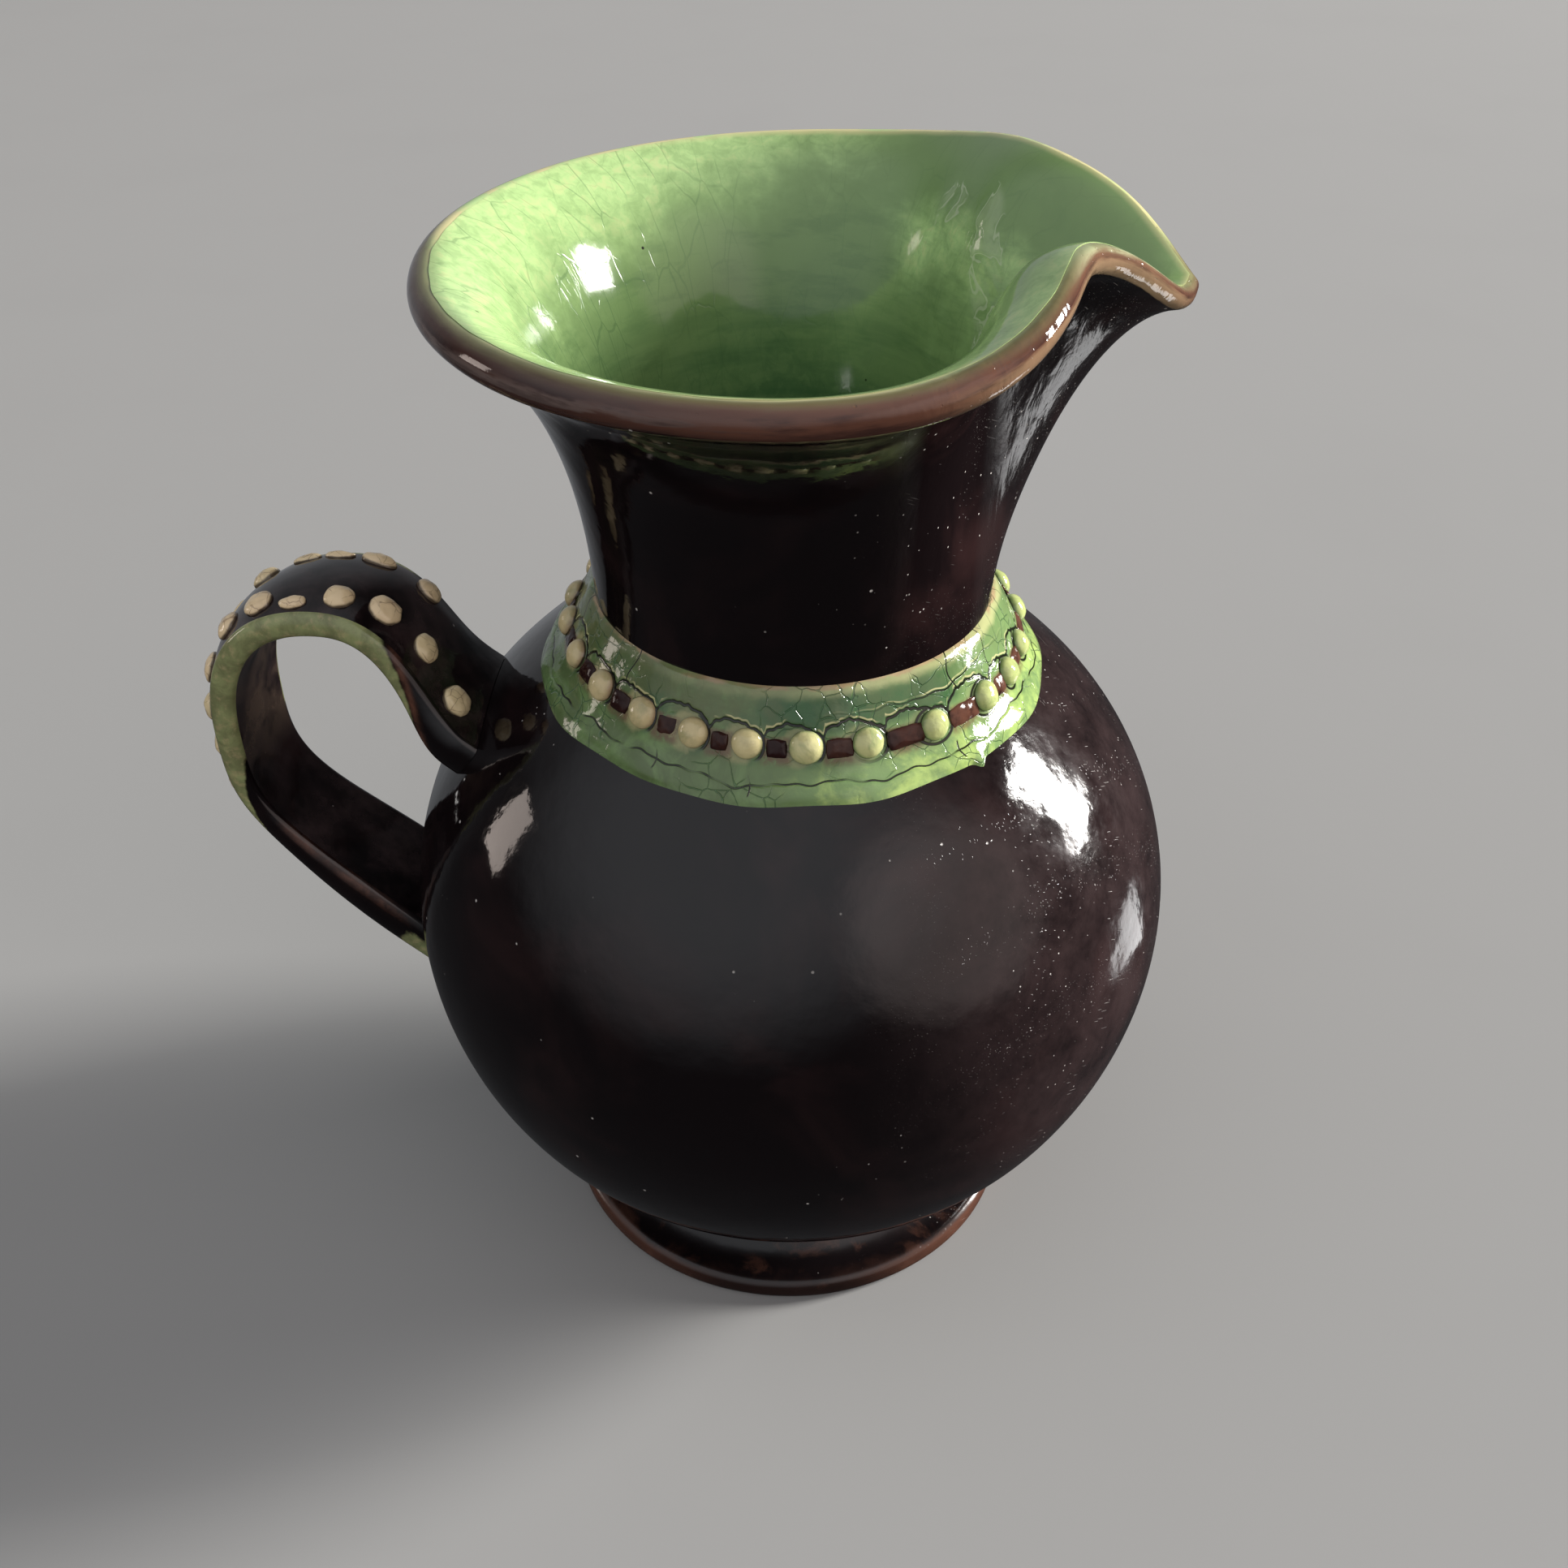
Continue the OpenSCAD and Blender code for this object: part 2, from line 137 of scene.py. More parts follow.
class JugNeck(PropertyGroup):
    """Sizes of the flared neck, its lip and its spout."""
    radius: length("Radius", 20.2, "Outside radius at the collar")
    ledge: length("Seat ledge", 0.4, "Width of the seat past the neck")
    wall: length("Wall", 2.8, "Thickness of the wall at the collar")
    rim: length("Lip radius", 33, "Radius of the lip's middle line, away from the spout")
    height: length("Height", 32.6, "Height of the lip's middle line over the collar")
    tilt: length("Tilt", 0.6, "Rise of the lip towards the spout")
    lip: length("Half lip", 1.65, "Half of the lip's thickness")
    spout_lip: length("Half spout lip", 1.15, "Half of the lip's thickness at the spout")
    flare: turn("Flare", 68, "Angle of the lip's flare from the vertical")
    flare_pull: length("Flare length", 14, "Length over which the wall bends into the flare")
    base_pull: length("Upright length", 1.5, "Length over which the wall leaves the collar upright")
    spout_flare: turn("Spout flare", 86, "Angle of the flare under the spout")
    spout_pull: length("Spout length", 10, "Length over which the wall bends into the spout")
    flare_spread: turn("Flare spread", 35, "How far round the spout's flare spreads")
    reach: length("Spout reach", 6, "How far the tip is pulled past the lip's circle")
    reach_spread: turn("Reach spread", 40, "How far round that pull spreads")
    turn: turn("Spout turn", 2.2, "Turn of the spout towards the back")
    pinch_front: length("Front pinch", 9.4, "Depth of the pinch in front of the spout")
    pinch_back: length("Back pinch", 7.9, "Depth of the pinch behind the spout")
    pinch_turn: turn("Pinch place", 26.4, "Angle from the spout to each pinch")
    pinch_spread: turn("Pinch spread", 26, "How far round a pinch spreads")
    crest_front: length("Front crest", 5, "Rise of the lip over the front pinch")
    crest_back: length("Back crest", 3.6, "Rise of the lip over the back pinch")
    crest_turn: turn("Crest place", 34, "Angle from the spout to each crest")
    crest_spread: turn("Crest spread", 27.4, "How far round a crest spreads")
    dip: length("Pouring dip", 4.4, "Depth of the dip in the spout's tip")
    dip_spread: turn("Dip spread", 12.8, "How far round the dip spreads")
    cheek: turn("Cheek blend", 40, "Angle over which the front sizes pass into the back ones")
    creep: turn("Glaze creep", 9, "How far the inside glaze creeps over the rolled lip")


class JugCollar(PropertyGroup):
    """Sizes of the collar and of its beading."""
    radius: length("Radius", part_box("collar")[1].x / MM, "Radius of the lower edge on the shoulder")
    edge: length("Edge", 1, "Thickness of the lower edge")
    edge_lean: length("Edge lean", 0.4, "Lean of the lower edge")
    lip: length("Lip", 0.5, "Width of the upper edge round the neck")
    soften: length("Soften", 0.42, "Rounding of the corners under the glaze")
    row: length("Row radius", 23.4, "Radius of the ring that the pearls sit on")
    row_lift: length("Row lift", 2.1, "Height of that ring over the shoulder")
    row_lean: turn("Row lean", 62, "Slope of the face that carries the pearls")
    row_half: length("Half row", 1.9, "Half length of that face")
    pearls: IntProperty(name="Pearls", description="Number of pearls round the collar", default=24, min=3)
    pearl_turn: turn("First pearl", 5.7, "Turn of the first pearl from the spout")
    pearl: length("Pearl radius", 1.55, "Radius of a pearl")
    pearl_height: length("Pearl height", 1.15, "Height of a pearl over the collar")
    pearl_lift: length("Pearl lift", 0.7, "How far the row of pearls sits over the middle of its face")
    pearl_sway: length("Pearl sway", 0.5, "How much more it does so towards the handle")
    dash: length("Half dash", 1, "Half width of a dash")
    dash_gap: length("Dash gap", 0.3, "Gap between a pearl and the dash that follows it")
    dash_tuck: length("Dash tuck", 0.3, "How far a dash tucks under the pearl at its other end")
    dash_drop: length("Dash drop", 0.2, "How far the dashes lie under the middles of the pearls")
    dash_height: length("Dash height", 0.3, "Thickness of a dash")
    crack: length("Crack depth", 0.07, "Depth of the cracks in the glaze")


class JugHandle(PropertyGroup):
    """Sizes of the strap handle."""
    reach: length("Reach", 18.2, "Reach past the globe's widest level")
    root_rise: length("Root rise", 22.4, "Height of the upper root above the widest level")
    crest_rise: length("Crest rise", 35.6, "Height of the crest above the widest level")
    crest_out: length("Crest out", 5.1, "Distance of the crest past the globe")
    bow_rise: length("Bow rise", 20.2, "Height of the outermost point above the widest level")
    root_drop: length("Root drop", 5.8, "Depth of the lower root under the widest level")
    root_angle: turn("Root angle", 38, "Angle at which the strap leaves the upper root")
    low_angle: turn("Lower angle", 39, "Angle at which the strap meets the lower root")
    root_pull: length("Root pull", 5.5, "Length over which the strap leaves the upper root")
    crest_in: length("Crest pull in", 8, "Length over which the strap bends into the crest")
    crest_on: length("Crest pull out", 7.2, "Length over which the strap bends out of the crest")
    bow_up: length("Bow pull up", 11, "Length over which the strap bends into the bow")
    bow_down: length("Bow pull down", 10, "Length over which the strap bends out of the bow")
    low_pull: length("Lower pull", 23, "Length over which the strap bends into the lower root")
    width_top: length("Upper width", 12.8, "Width between the edges at the upper root")
    width_low: length("Lower width", 10.2, "Width between the edges at the lower root")
    thickness: length("Thickness", 2.8, "Thickness of the strap at its edges")
    crown: length("Crown", 1, "Swell of the outer face along its middle")
    bulge: length("Edge bulge", 1, "Bulge of the trailed band along each edge")
    spread: length("Root spread", 2.6, "Extra width where the strap is pressed on")
    swell: length("Root swell", 0.8, "Extra thickness at the upper root")
    tail: length("Tail swell", 1.2, "Extra swell of the outer face at the lower root")
    flare: number("Root flare", 0.3, "Length of these flares as a share of a curve", "FACTOR")
    turn: turn("Turn", 8, "Turn of the handle towards the back")
    dot_height: length("Dot height", 1, "Height of a dot over the strap")
    gap: length("Luting gap", 0.05, "Gap to the globe that luting slip fills")


class JugGlaze(PropertyGroup):
    """Colours of the glazes and slips."""
    dark: tint("Dark glaze", (0.005, 0.0032, 0.0036), "Glaze of the outside where it is thick")
    brown: tint("Brown glaze", (0.022, 0.0105, 0.0105), "The same glaze where it is thin")
    rust: tint("Rust", (0.13, 0.056, 0.036), "Thin glaze over red clay on the lip and the foot")
    clay: tint("Clay", (0.42, 0.3, 0.17), "Bare or nearly bare clay on worn edges")
    leaf: tint("Leaf green", (0.43, 0.62, 0.26), "Thin green glaze over white slip")
    moss: tint("Moss green", (0.17, 0.27, 0.1), "Green glaze of middling thickness")
    lime: tint("Lime green", (0.37, 0.5, 0.15), "Thin green glaze over the collar")
    emerald: tint("Emerald", (0.032, 0.098, 0.036), "Green glaze where it pools")
    cream: tint("Cream slip", (0.62, 0.57, 0.29), "White slip under clear glaze")
    tan: tint("Tan slip", (0.56, 0.41, 0.23), "White slip toned by the clay")
    dot: tint("Dot slip", (0.76, 0.58, 0.35), "Thick slip of the handle's dots")
    crack: tint("Crack", (0.006, 0.006, 0.004), "Stain in the cracks of the green glaze")
    dash: tint("Dash slip", (0.021, 0.0075, 0.007), "Dark slip of the dashes")
    dust: tint("Dust", (0.5, 0.47, 0.44), "Pale specks in the dark glaze")
    # Haze colour: dust, and on the window side of the dark glaze also painted sheen
    veil_and_sheen: tint("Veil", (0.042, 0.026, 0.026), "Dusty veil over the dark glaze towards the spout")


class JugStage(PropertyGroup):
    """Floor, lights and camera."""
    floor: tint("Floor", (0.32, 0.317, 0.31), "Colour of the floor")
    floor_size: length("Floor size", 3000, "Side of the floor")
    eye_rise: turn("Camera rise", 37.466, "Angle of the camera above the horizon")
    eye_distance: length("Camera distance", 191.326, "Distance from the camera to its target")
    eye_target: length("Camera target", 56.223, "Height of the camera's target on the axis")
    eye_focus: number("Focal length", 2118.07, "Focal length in pixels", "PIXEL")
    eye_shift: number("Shift", -8.734, "Sideways shift in pixels", "PIXEL")
    eye_roll: turn("Camera roll", 0.524, "Roll of the camera")
    window: number("Window", 594, "Power of the window light in watts", "POWER")
    ceiling: number("Ceiling", 0.85, "Brightness of the ceiling")
    side: number("Side", 2, "Power of the side light in watts", "POWER")
    wall: number("Wall", 0.9, "Brightness of the warm wall at the right")
    glint: number("Glint", 0.025, "Power of the low glint at the right in watts", "POWER")
    back: number("Back", 0.3, "Brightness of the wall behind")
    backdrop: tint("Backdrop", (0.42, 0.42, 0.415), "Plain colour behind the floor")
    room: number("Room", 0.035, "Brightness of the rest of the room")
    room_tint: tint("Room tint", (0.92, 0.95, 1), "Colour of the room's even light")
    wall_tint: tint("Wall tint", (1, 0.84, 0.8), "Colour of the warm wall")


class JugSettings(PropertyGroup):
    """All settings of the jug."""
    globe: PointerProperty(type=JugGlobe)
    foot: PointerProperty(type=JugFoot)
    neck: PointerProperty(type=JugNeck)
    collar: PointerProperty(type=JugCollar)
    handle: PointerProperty(type=JugHandle)
    glaze: PointerProperty(type=JugGlaze)
    stage: PointerProperty(type=JugStage)


# Shared formulas
def bell(x):
    """Bell curve that is 1 at 0."""
    return np.exp(-np.square(x))


def mix(a, b, k):
    """Value between a and b."""
    return a + (b - a) * k


def mixed(amount, a, b):
    """Colour between two colours."""
    return tuple(mix(p, q, amount) for p, q in zip(a, b))


def opaque(colour):
    """Colour with full cover, as nodes take it."""
    return (*colour, 1.0)


def smooth(x, low, high):
    """Smooth step from 0 at low to 1 at high."""
    k = np.clip((x - low) / (high - low), 0, 1)
    return k * k * (3 - 2 * k)


def bezier(control, t):
    """Points of a cubic curve, for control points in the last two axes."""
    weights = stacked((1 - t) ** 3, 3 * t * (1 - t) ** 2, 3 * t * t * (1 - t), t ** 3)
    return np.einsum("...kd,...k->...d", control, weights)


def bezier_slope(control, t):
    """Slopes of a cubic curve."""
    weights = stacked((1 - t) ** 2, 2 * t * (1 - t), t * t)
    return 3 * np.einsum("...kd,...k->...d", np.diff(control, axis=-2), weights)


def stacked(*parts):
    """Vectors of some coordinates."""
    return np.stack(parts, axis=-1)


def walked(points):
    """Way along a line of points up to each of them."""
    return np.concatenate([[0], np.cumsum(np.linalg.norm(np.diff(points, axis=0), axis=-1))])


def unit(v):
    """Vectors of length 1."""
    return v / np.linalg.norm(v, axis=-1, keepdims=True)


def ripple(angle, waves, seed):
    """Uneven line round a ring, about -1 to 1: a few waves with fixed phases."""
    phases = np.random.default_rng(seed).uniform(0, 2 * math.pi, len(waves))
    return sum(np.sin(w * angle + p) for w, p in zip(waves, phases)) / math.sqrt(len(waves))


def arc(rx, rz, middle_z, start, end, steps):
    """Arc of an ellipse round the axis, as radius and height."""
    a = np.linspace(start, end, steps + 1)
    return stacked(rx * np.cos(a), middle_z + rz * np.sin(a))


def turned(outline, angles):
    """Rings of points: an outline of radius and height, one or one per angle, set round the axis."""
    outline = np.broadcast_to(outline, (len(angles),) + outline.shape[-2:])
    r, z = outline[..., 0], outline[..., 1]
    return stacked(r * np.cos(angles)[:, None], r * np.sin(angles)[:, None], z)


def round_angles(steps):
    """Even angles round the axis from the spout, between -pi and pi."""
    return (np.arange(steps) / steps * 2 + 1) % 2 * math.pi - math.pi


class Levels:
    """Heights and radii that several pieces share."""

    def __init__(self, jug):
        self.globe = jug.globe
        self.base_r = jug.foot.waist - jug.foot.ledge
        base_drop = jug.globe.drop * math.sqrt(1 - (self.base_r / jug.globe.radius) ** 2)
        self.middle = jug.foot.height + base_drop
        self.floor = jug.foot.height + jug.globe.floor
        self.seat_r = jug.neck.radius + jug.neck.ledge
        self.throat = jug.neck.radius - jug.neck.wall
        self.seat = self.shoulder(self.seat_r)
        self.collar_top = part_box("collar")[1].z
        self.rim = self.collar_top + jug.neck.height

    def shoulder(self, r):
        """Height of the globe's upper half at a radius."""
        return self.middle + self.globe.rise * np.sqrt(1 - np.square(r / self.globe.radius))

    def side(self, z):
        """Radius of the globe at a height."""
        half = self.globe.rise if z > self.middle else self.globe.drop
        return self.globe.radius * math.sqrt(1 - ((z - self.middle) / half) ** 2)

    def outside(self, steps):
        """Outline of the globe from its flat underside to the neck's seat."""
        g = self.globe
        low = arc(g.radius, g.drop, self.middle, -math.acos(self.base_r / g.radius), 0, steps)
        high = arc(g.radius, g.rise, self.middle, 0, math.acos(self.seat_r / g.radius), steps)
        return np.concatenate([low, high[1:]])

    def inside(self, depth, steps):
        """Outline of the hollow from the floor to the throat, a depth under the wall's own inside."""
        inset = self.globe.wall + depth
        r = self.globe.radius - inset
        drop = self.globe.drop - inset
        bore = self.throat - depth
        low = arc(r, drop, self.middle, -math.asin((self.middle - self.floor - depth) / drop), 0, steps)
        high = arc(r, self.globe.rise - inset, self.middle, 0, math.acos(bore / r), steps)
        return np.concatenate([[[0, self.floor + depth]], low, high[1:], [[bore, self.seat]]])


# Meshes
SHARP_ANGLE = math.radians(50)


def loft_faces(rings, points, hoop):
    """Corners of the quads between neighbouring rings, as places in a grid of rings and points."""
    i, j = np.meshgrid(np.arange(rings if hoop else rings - 1), np.arange(points), indexing="ij")
    corners = np.stack([
        stacked(i, j), stacked(i, j + 1), stacked(i + 1, j + 1), stacked(i + 1, j)], axis=-2)
    return corners.reshape(-1, 4, 2)


def cap_faces(ring, points, back):
    """Quads that close an open end of a loft, from one side of its section to the other."""
    j = np.arange(points // 2 - 1)
    across = stacked(j, points - 1 - j, points - 2 - j, j + 1)
    if back:
        across = across[:, ::-1]
    return stacked(np.full_like(across, ring), across)


def volume(points, faces):
    """Volume inside a closed mesh of quads, positive where its faces point outwards."""
    a, b, c, d = (points[faces[:, k]] for k in range(4))
    return (np.einsum("ij,ij->", a, np.cross(b, c)) + np.einsum("ij,ij->", a, np.cross(c, d))) / 6


def lofted(node, grid, hoop, fields):
    """Closed mesh through rings of points, with lanes as its UV map and the fields as point attributes."""
    rings, points = grid.shape[:2]
    corners = loft_faces(rings, points, hoop)
    if not hoop:
        corners = np.concatenate([corners, cap_faces(0, points, False), cap_faces(rings - 1, points, True)])
    faces = corners[..., 0] % rings * points + corners[..., 1] % points
    flat = grid.reshape(-1, 3)
    if volume(flat, faces) < 0:
        corners, faces = corners[:, ::-1], faces[:, ::-1]
    mesh = bpy.data.meshes.new(f"jug_{node}")
    mesh.from_pydata(flat.tolist(), [], faces.tolist())
    lanes = corners / np.array([rings if hoop else rings - 1, points])
    mesh.uv_layers.new(name="lanes").data.foreach_set("uv", lanes.astype(np.float32).ravel())
    for field, values in fields.items():
        values = np.broadcast_to(values, grid.shape[:2]).astype(np.float32)
        mesh.attributes.new(field, "FLOAT", "POINT").data.foreach_set("value", values.ravel())
    return mesh


def close_poles(mesh):
    """Joins the points that lie together on the axis."""
    shell = bmesh.new()
    shell.from_mesh(mesh)
    bmesh.ops.remove_doubles(shell, verts=shell.verts, dist=MM / 1000)
    shell.to_mesh(mesh)
    shell.free()


def settle(node, mesh, material):
    """Makes a finished piece of a mesh and puts it in the place of its solid."""
    mesh.shade_smooth()
    mesh.set_sharp_from_angle(angle=SHARP_ANGLE)
    mesh.materials.clear()
    mesh.materials.append(material)
    piece = bpy.data.objects.new(f"jug_{node}", mesh)
    bpy.context.scene.collection.objects.link(piece)
    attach(piece, BODY)
    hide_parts(node)


# Node trees
def wired(tree, kind, inputs=None, **options):
    """Adds a node, sets its options, and links or sets its inputs."""
    node = tree.nodes.new(kind)
    for name, value in options.items():
        setattr(node, name, value)
    for key, value in (inputs or {}).items():
        value = value.socket if isinstance(value, Mask) else value
        if isinstance(value, NodeSocket):
            tree.links.new(value, node.inputs[key])
        else:
            node.inputs[key].default_value = value
    return node


def shaping_tree(name, numbers, counts=()):
    """An empty tree of Geometry Nodes with a geometry, named inputs and a material."""
    tree = bpy.data.node_groups.new(name, "GeometryNodeTree")
    sockets = [("Geometry", "Geometry"), *((title, "Float") for title in numbers),
               *((title, "Int") for title in counts), ("Material", "Material")]
    for title, kind in sockets:
        tree.interface.new_socket(title, in_out="INPUT", socket_type=f"NodeSocket{kind}")
    tree.interface.new_socket("Geometry", in_out="OUTPUT", socket_type="NodeSocketGeometry")
    return tree, tree.nodes.new("NodeGroupInput").outputs


def finish_tree(tree, geometry, material):
    """Ends a tree in plain geometry that has its material."""
    plain = wired(tree, "GeometryNodeRealizeInstances", {"Geometry": geometry})
    coated = wired(tree, "GeometryNodeSetMaterial", {"Geometry": plain.outputs[0], "Material": material})
    wired(tree, "NodeGroupOutput", {"Geometry": coated.outputs[0]})


def shaped(mesh, tree, values):
    """The mesh that a tree makes of another one."""
    carrier = bpy.data.objects.new(mesh.name, mesh)
    bpy.context.scene.collection.objects.link(carrier)
    modifier = carrier.modifiers.new(tree.name, "NODES")
    modifier.node_group = tree
    for item in tree.interface.items_tree:
        if item.in_out == "INPUT" and item.name in values:
            modifier[item.identifier] = values[item.name]
    graph = bpy.context.evaluated_depsgraph_get()
    result = bpy.data.meshes.new_from_object(carrier.evaluated_get(graph), depsgraph=graph)
    carrier.modifiers.remove(modifier)
    bpy.data.objects.remove(carrier)
    return result


def maths(tree, kind, a, b=0.0):
    """One sum on numbers."""
    return wired(tree, "ShaderNodeMath", {0: a, 1: b}, operation=kind).outputs[0]


def hand_worked_tree():
    """Tree that pushes a surface in and out by shallow dents, where its points are marked as worked."""
    if "hand_worked" in bpy.data.node_groups:
        return bpy.data.node_groups["hand_worked"]
    tree, given = shaping_tree("hand_worked", ("Depth", "Width", "Seed"))
    scale = maths(tree, "DIVIDE", 1.0, given["Width"])
    noise = wired(tree, "ShaderNodeTexNoise", {
        "W": given["Seed"], "Scale": scale, "Detail": 1.0, "Roughness": 0.35}, noise_dimensions="4D")
    marked = wired(tree, "GeometryNodeInputNamedAttribute", {"Name": "worked"}, data_type="FLOAT")
    swing = maths(tree, "SUBTRACT", noise.outputs[0], 0.5)
    push = maths(tree, "MULTIPLY", maths(tree, "MULTIPLY", swing, given["Depth"]), marked.outputs[0])
    normal = wired(tree, "GeometryNodeInputNormal")
    offset = wired(tree, "ShaderNodeVectorMath", {0: normal.outputs[0], "Scale": push}, operation="SCALE")
    moved = wired(tree, "GeometryNodeSetPosition", {
        "Geometry": given["Geometry"], "Offset": offset.outputs[0]})
    finish_tree(tree, moved.outputs[0], given["Material"])
    return tree


def hand_worked(node, mesh, material, depth, width, seed):
    """Gives a mesh its dents and settles it."""
    settle(node, shaped(mesh, hand_worked_tree(), {
        "Depth": depth, "Width": width, "Seed": seed, "Material": material}), material)


DROP_SIDES = 32
DROP_STEPS = 20
UNEVEN_SCALE = 0.9 / MM
TINY = 1e-6


def slip_drops_tree():
    """Tree that lays a drop of slip on each point, by the point's facing, run and spread."""
    if "slip_drops" in bpy.data.node_groups:
        return bpy.data.node_groups["slip_drops"]
    tree, given = shaping_tree(
        "slip_drops", ("Squareness", "Sink", "Unevenness", "Seed"), counts=("Sides", "Steps"))
    ball = wired(tree, "GeometryNodeMeshUVSphere", {
        "Segments": given["Sides"], "Rings": given["Steps"], "Radius": 1.0})
    place = wired(tree, "GeometryNodeInputPosition").outputs[0]
    axes = wired(tree, "ShaderNodeSeparateXYZ", {0: place}).outputs
    wide = maths(tree, "MAXIMUM", maths(tree, "ABSOLUTE", axes[0]), maths(tree, "ABSOLUTE", axes[1]))
    flat = wired(tree, "ShaderNodeCombineXYZ", {0: axes[0], 1: axes[1]}).outputs[0]
    far = wired(tree, "ShaderNodeVectorMath", {0: flat}, operation="LENGTH").outputs["Value"]
    corner = maths(tree, "DIVIDE", maths(tree, "MAXIMUM", far, TINY), maths(tree, "MAXIMUM", wide, TINY))
    stretch = maths(tree, "POWER", corner, given["Squareness"])
    height = maths(tree, "MAXIMUM", axes[2], maths(tree, "MULTIPLY", given["Sink"], -1.0))
    x, y = (maths(tree, "MULTIPLY", axes[number], stretch) for number in (0, 1))
    drop_place = wired(tree, "ShaderNodeCombineXYZ", {0: x, 1: y, 2: height})
    drop = wired(tree, "GeometryNodeSetPosition", {
        "Geometry": ball.outputs["Mesh"], "Position": drop_place.outputs[0]})
    marked = wired(tree, "GeometryNodeStoreNamedAttribute", {
        "Geometry": drop.outputs[0], "Name": "rise", "Value": height}, data_type="FLOAT")

    def vector(name):
        found = wired(tree, "GeometryNodeInputNamedAttribute", {"Name": name}, data_type="FLOAT_VECTOR")
        return found.outputs[0]

    facing = wired(tree, "FunctionNodeAxesToRotation", {
        "Primary Axis": vector("facing"), "Secondary Axis": vector("run")},
        primary_axis="Z", secondary_axis="X")
    laid = wired(tree, "GeometryNodeInstanceOnPoints", {
        "Points": given["Geometry"], "Instance": marked.outputs[0],
        "Rotation": facing.outputs[0], "Scale": vector("spread")})
    plain = wired(tree, "GeometryNodeRealizeInstances", {"Geometry": laid.outputs[0]})
    noise = wired(tree, "ShaderNodeTexNoise", {
        "W": given["Seed"], "Scale": UNEVEN_SCALE, "Detail": 1.0}, noise_dimensions="4D")
    swing = wired(tree, "ShaderNodeVectorMath", {
        0: noise.outputs["Color"], 1: (0.5, 0.5, 0.5)}, operation="SUBTRACT")
    offset = wired(tree, "ShaderNodeVectorMath", {
        0: swing.outputs[0], "Scale": given["Unevenness"]}, operation="SCALE")
    uneven = wired(tree, "GeometryNodeSetPosition", {
        "Geometry": plain.outputs[0], "Offset": offset.outputs[0]})
    finish_tree(tree, uneven.outputs[0], given["Material"])
    return tree


def drops(node, places, facing, run, spread, tone, material, slot, **values):
    """Lays slip drops at points with their own facing, run, spread and tone, and settles them."""
    mesh = bpy.data.meshes.new(f"jug_{node}")
    mesh.from_pydata(places.tolist(), [], [])
    for field, rows in (("facing", facing), ("run", run), ("spread", spread)):
        rows = rows.astype(np.float32)
        mesh.attributes.new(field, "FLOAT_VECTOR", "POINT").data.foreach_set("vector", rows.ravel())
    mesh.attributes.new("tone", "FLOAT", "POINT").data.foreach_set("value", tone.astype(np.float32))
    values.update(Sides=DROP_SIDES, Steps=DROP_STEPS, Material=material)
    settle(node, shaped(mesh, slip_drops_tree(), values), material)


# Glazes
X, Y, Z = 0, 1, 2
GLAZE_IOR = 1.52
DARK_IOR = 1.45
DASH_IOR = 1.3


class Mask:
    """A number in a material, with sums that are written as sums."""

    def __init__(self, tree, socket):
        self.tree = tree
        self.socket = socket

    def made(self, kind, inputs, **options):
        """The number that a new node gives."""
        return Mask(self.tree, wired(self.tree, kind, inputs, **options).outputs[0])

    def sum(self, kind, other=0.0):
        """One sum on this number and another."""
        return self.made("ShaderNodeMath", {0: self, 1: other}, operation=kind)

    def __add__(self, other):
        return self.sum("ADD", other)

    def __sub__(self, other):
        return self.sum("SUBTRACT", other)

    def __mul__(self, other):
        return self.sum("MULTIPLY", other)

    def __or__(self, other):
        """The stronger of two masks."""
        return self.sum("MAXIMUM", other)

    def __abs__(self):
        return self.sum("ABSOLUTE")

    def __invert__(self):
        """What a mask leaves out."""
        return self.made("ShaderNodeMath", {0: 1.0, 1: self}, operation="SUBTRACT")

    def step(self, low, high):
        """Smooth step from 0 at low to 1 at high, either way round."""
        up = (low, high, 0.0, 1.0) if low < high else (high, low, 1.0, 0.0)
        given = dict(zip(("From Min", "From Max", "To Min", "To Max"), up), Value=self)
        return self.made("ShaderNodeMapRange", given, interpolation_type="SMOOTHSTEP")

    def spread(self, low, high):
        """Straight line from 0..1 to low..high."""
        return self.made("ShaderNodeMapRange", {"Value": self, "To Min": low, "To Max": high})


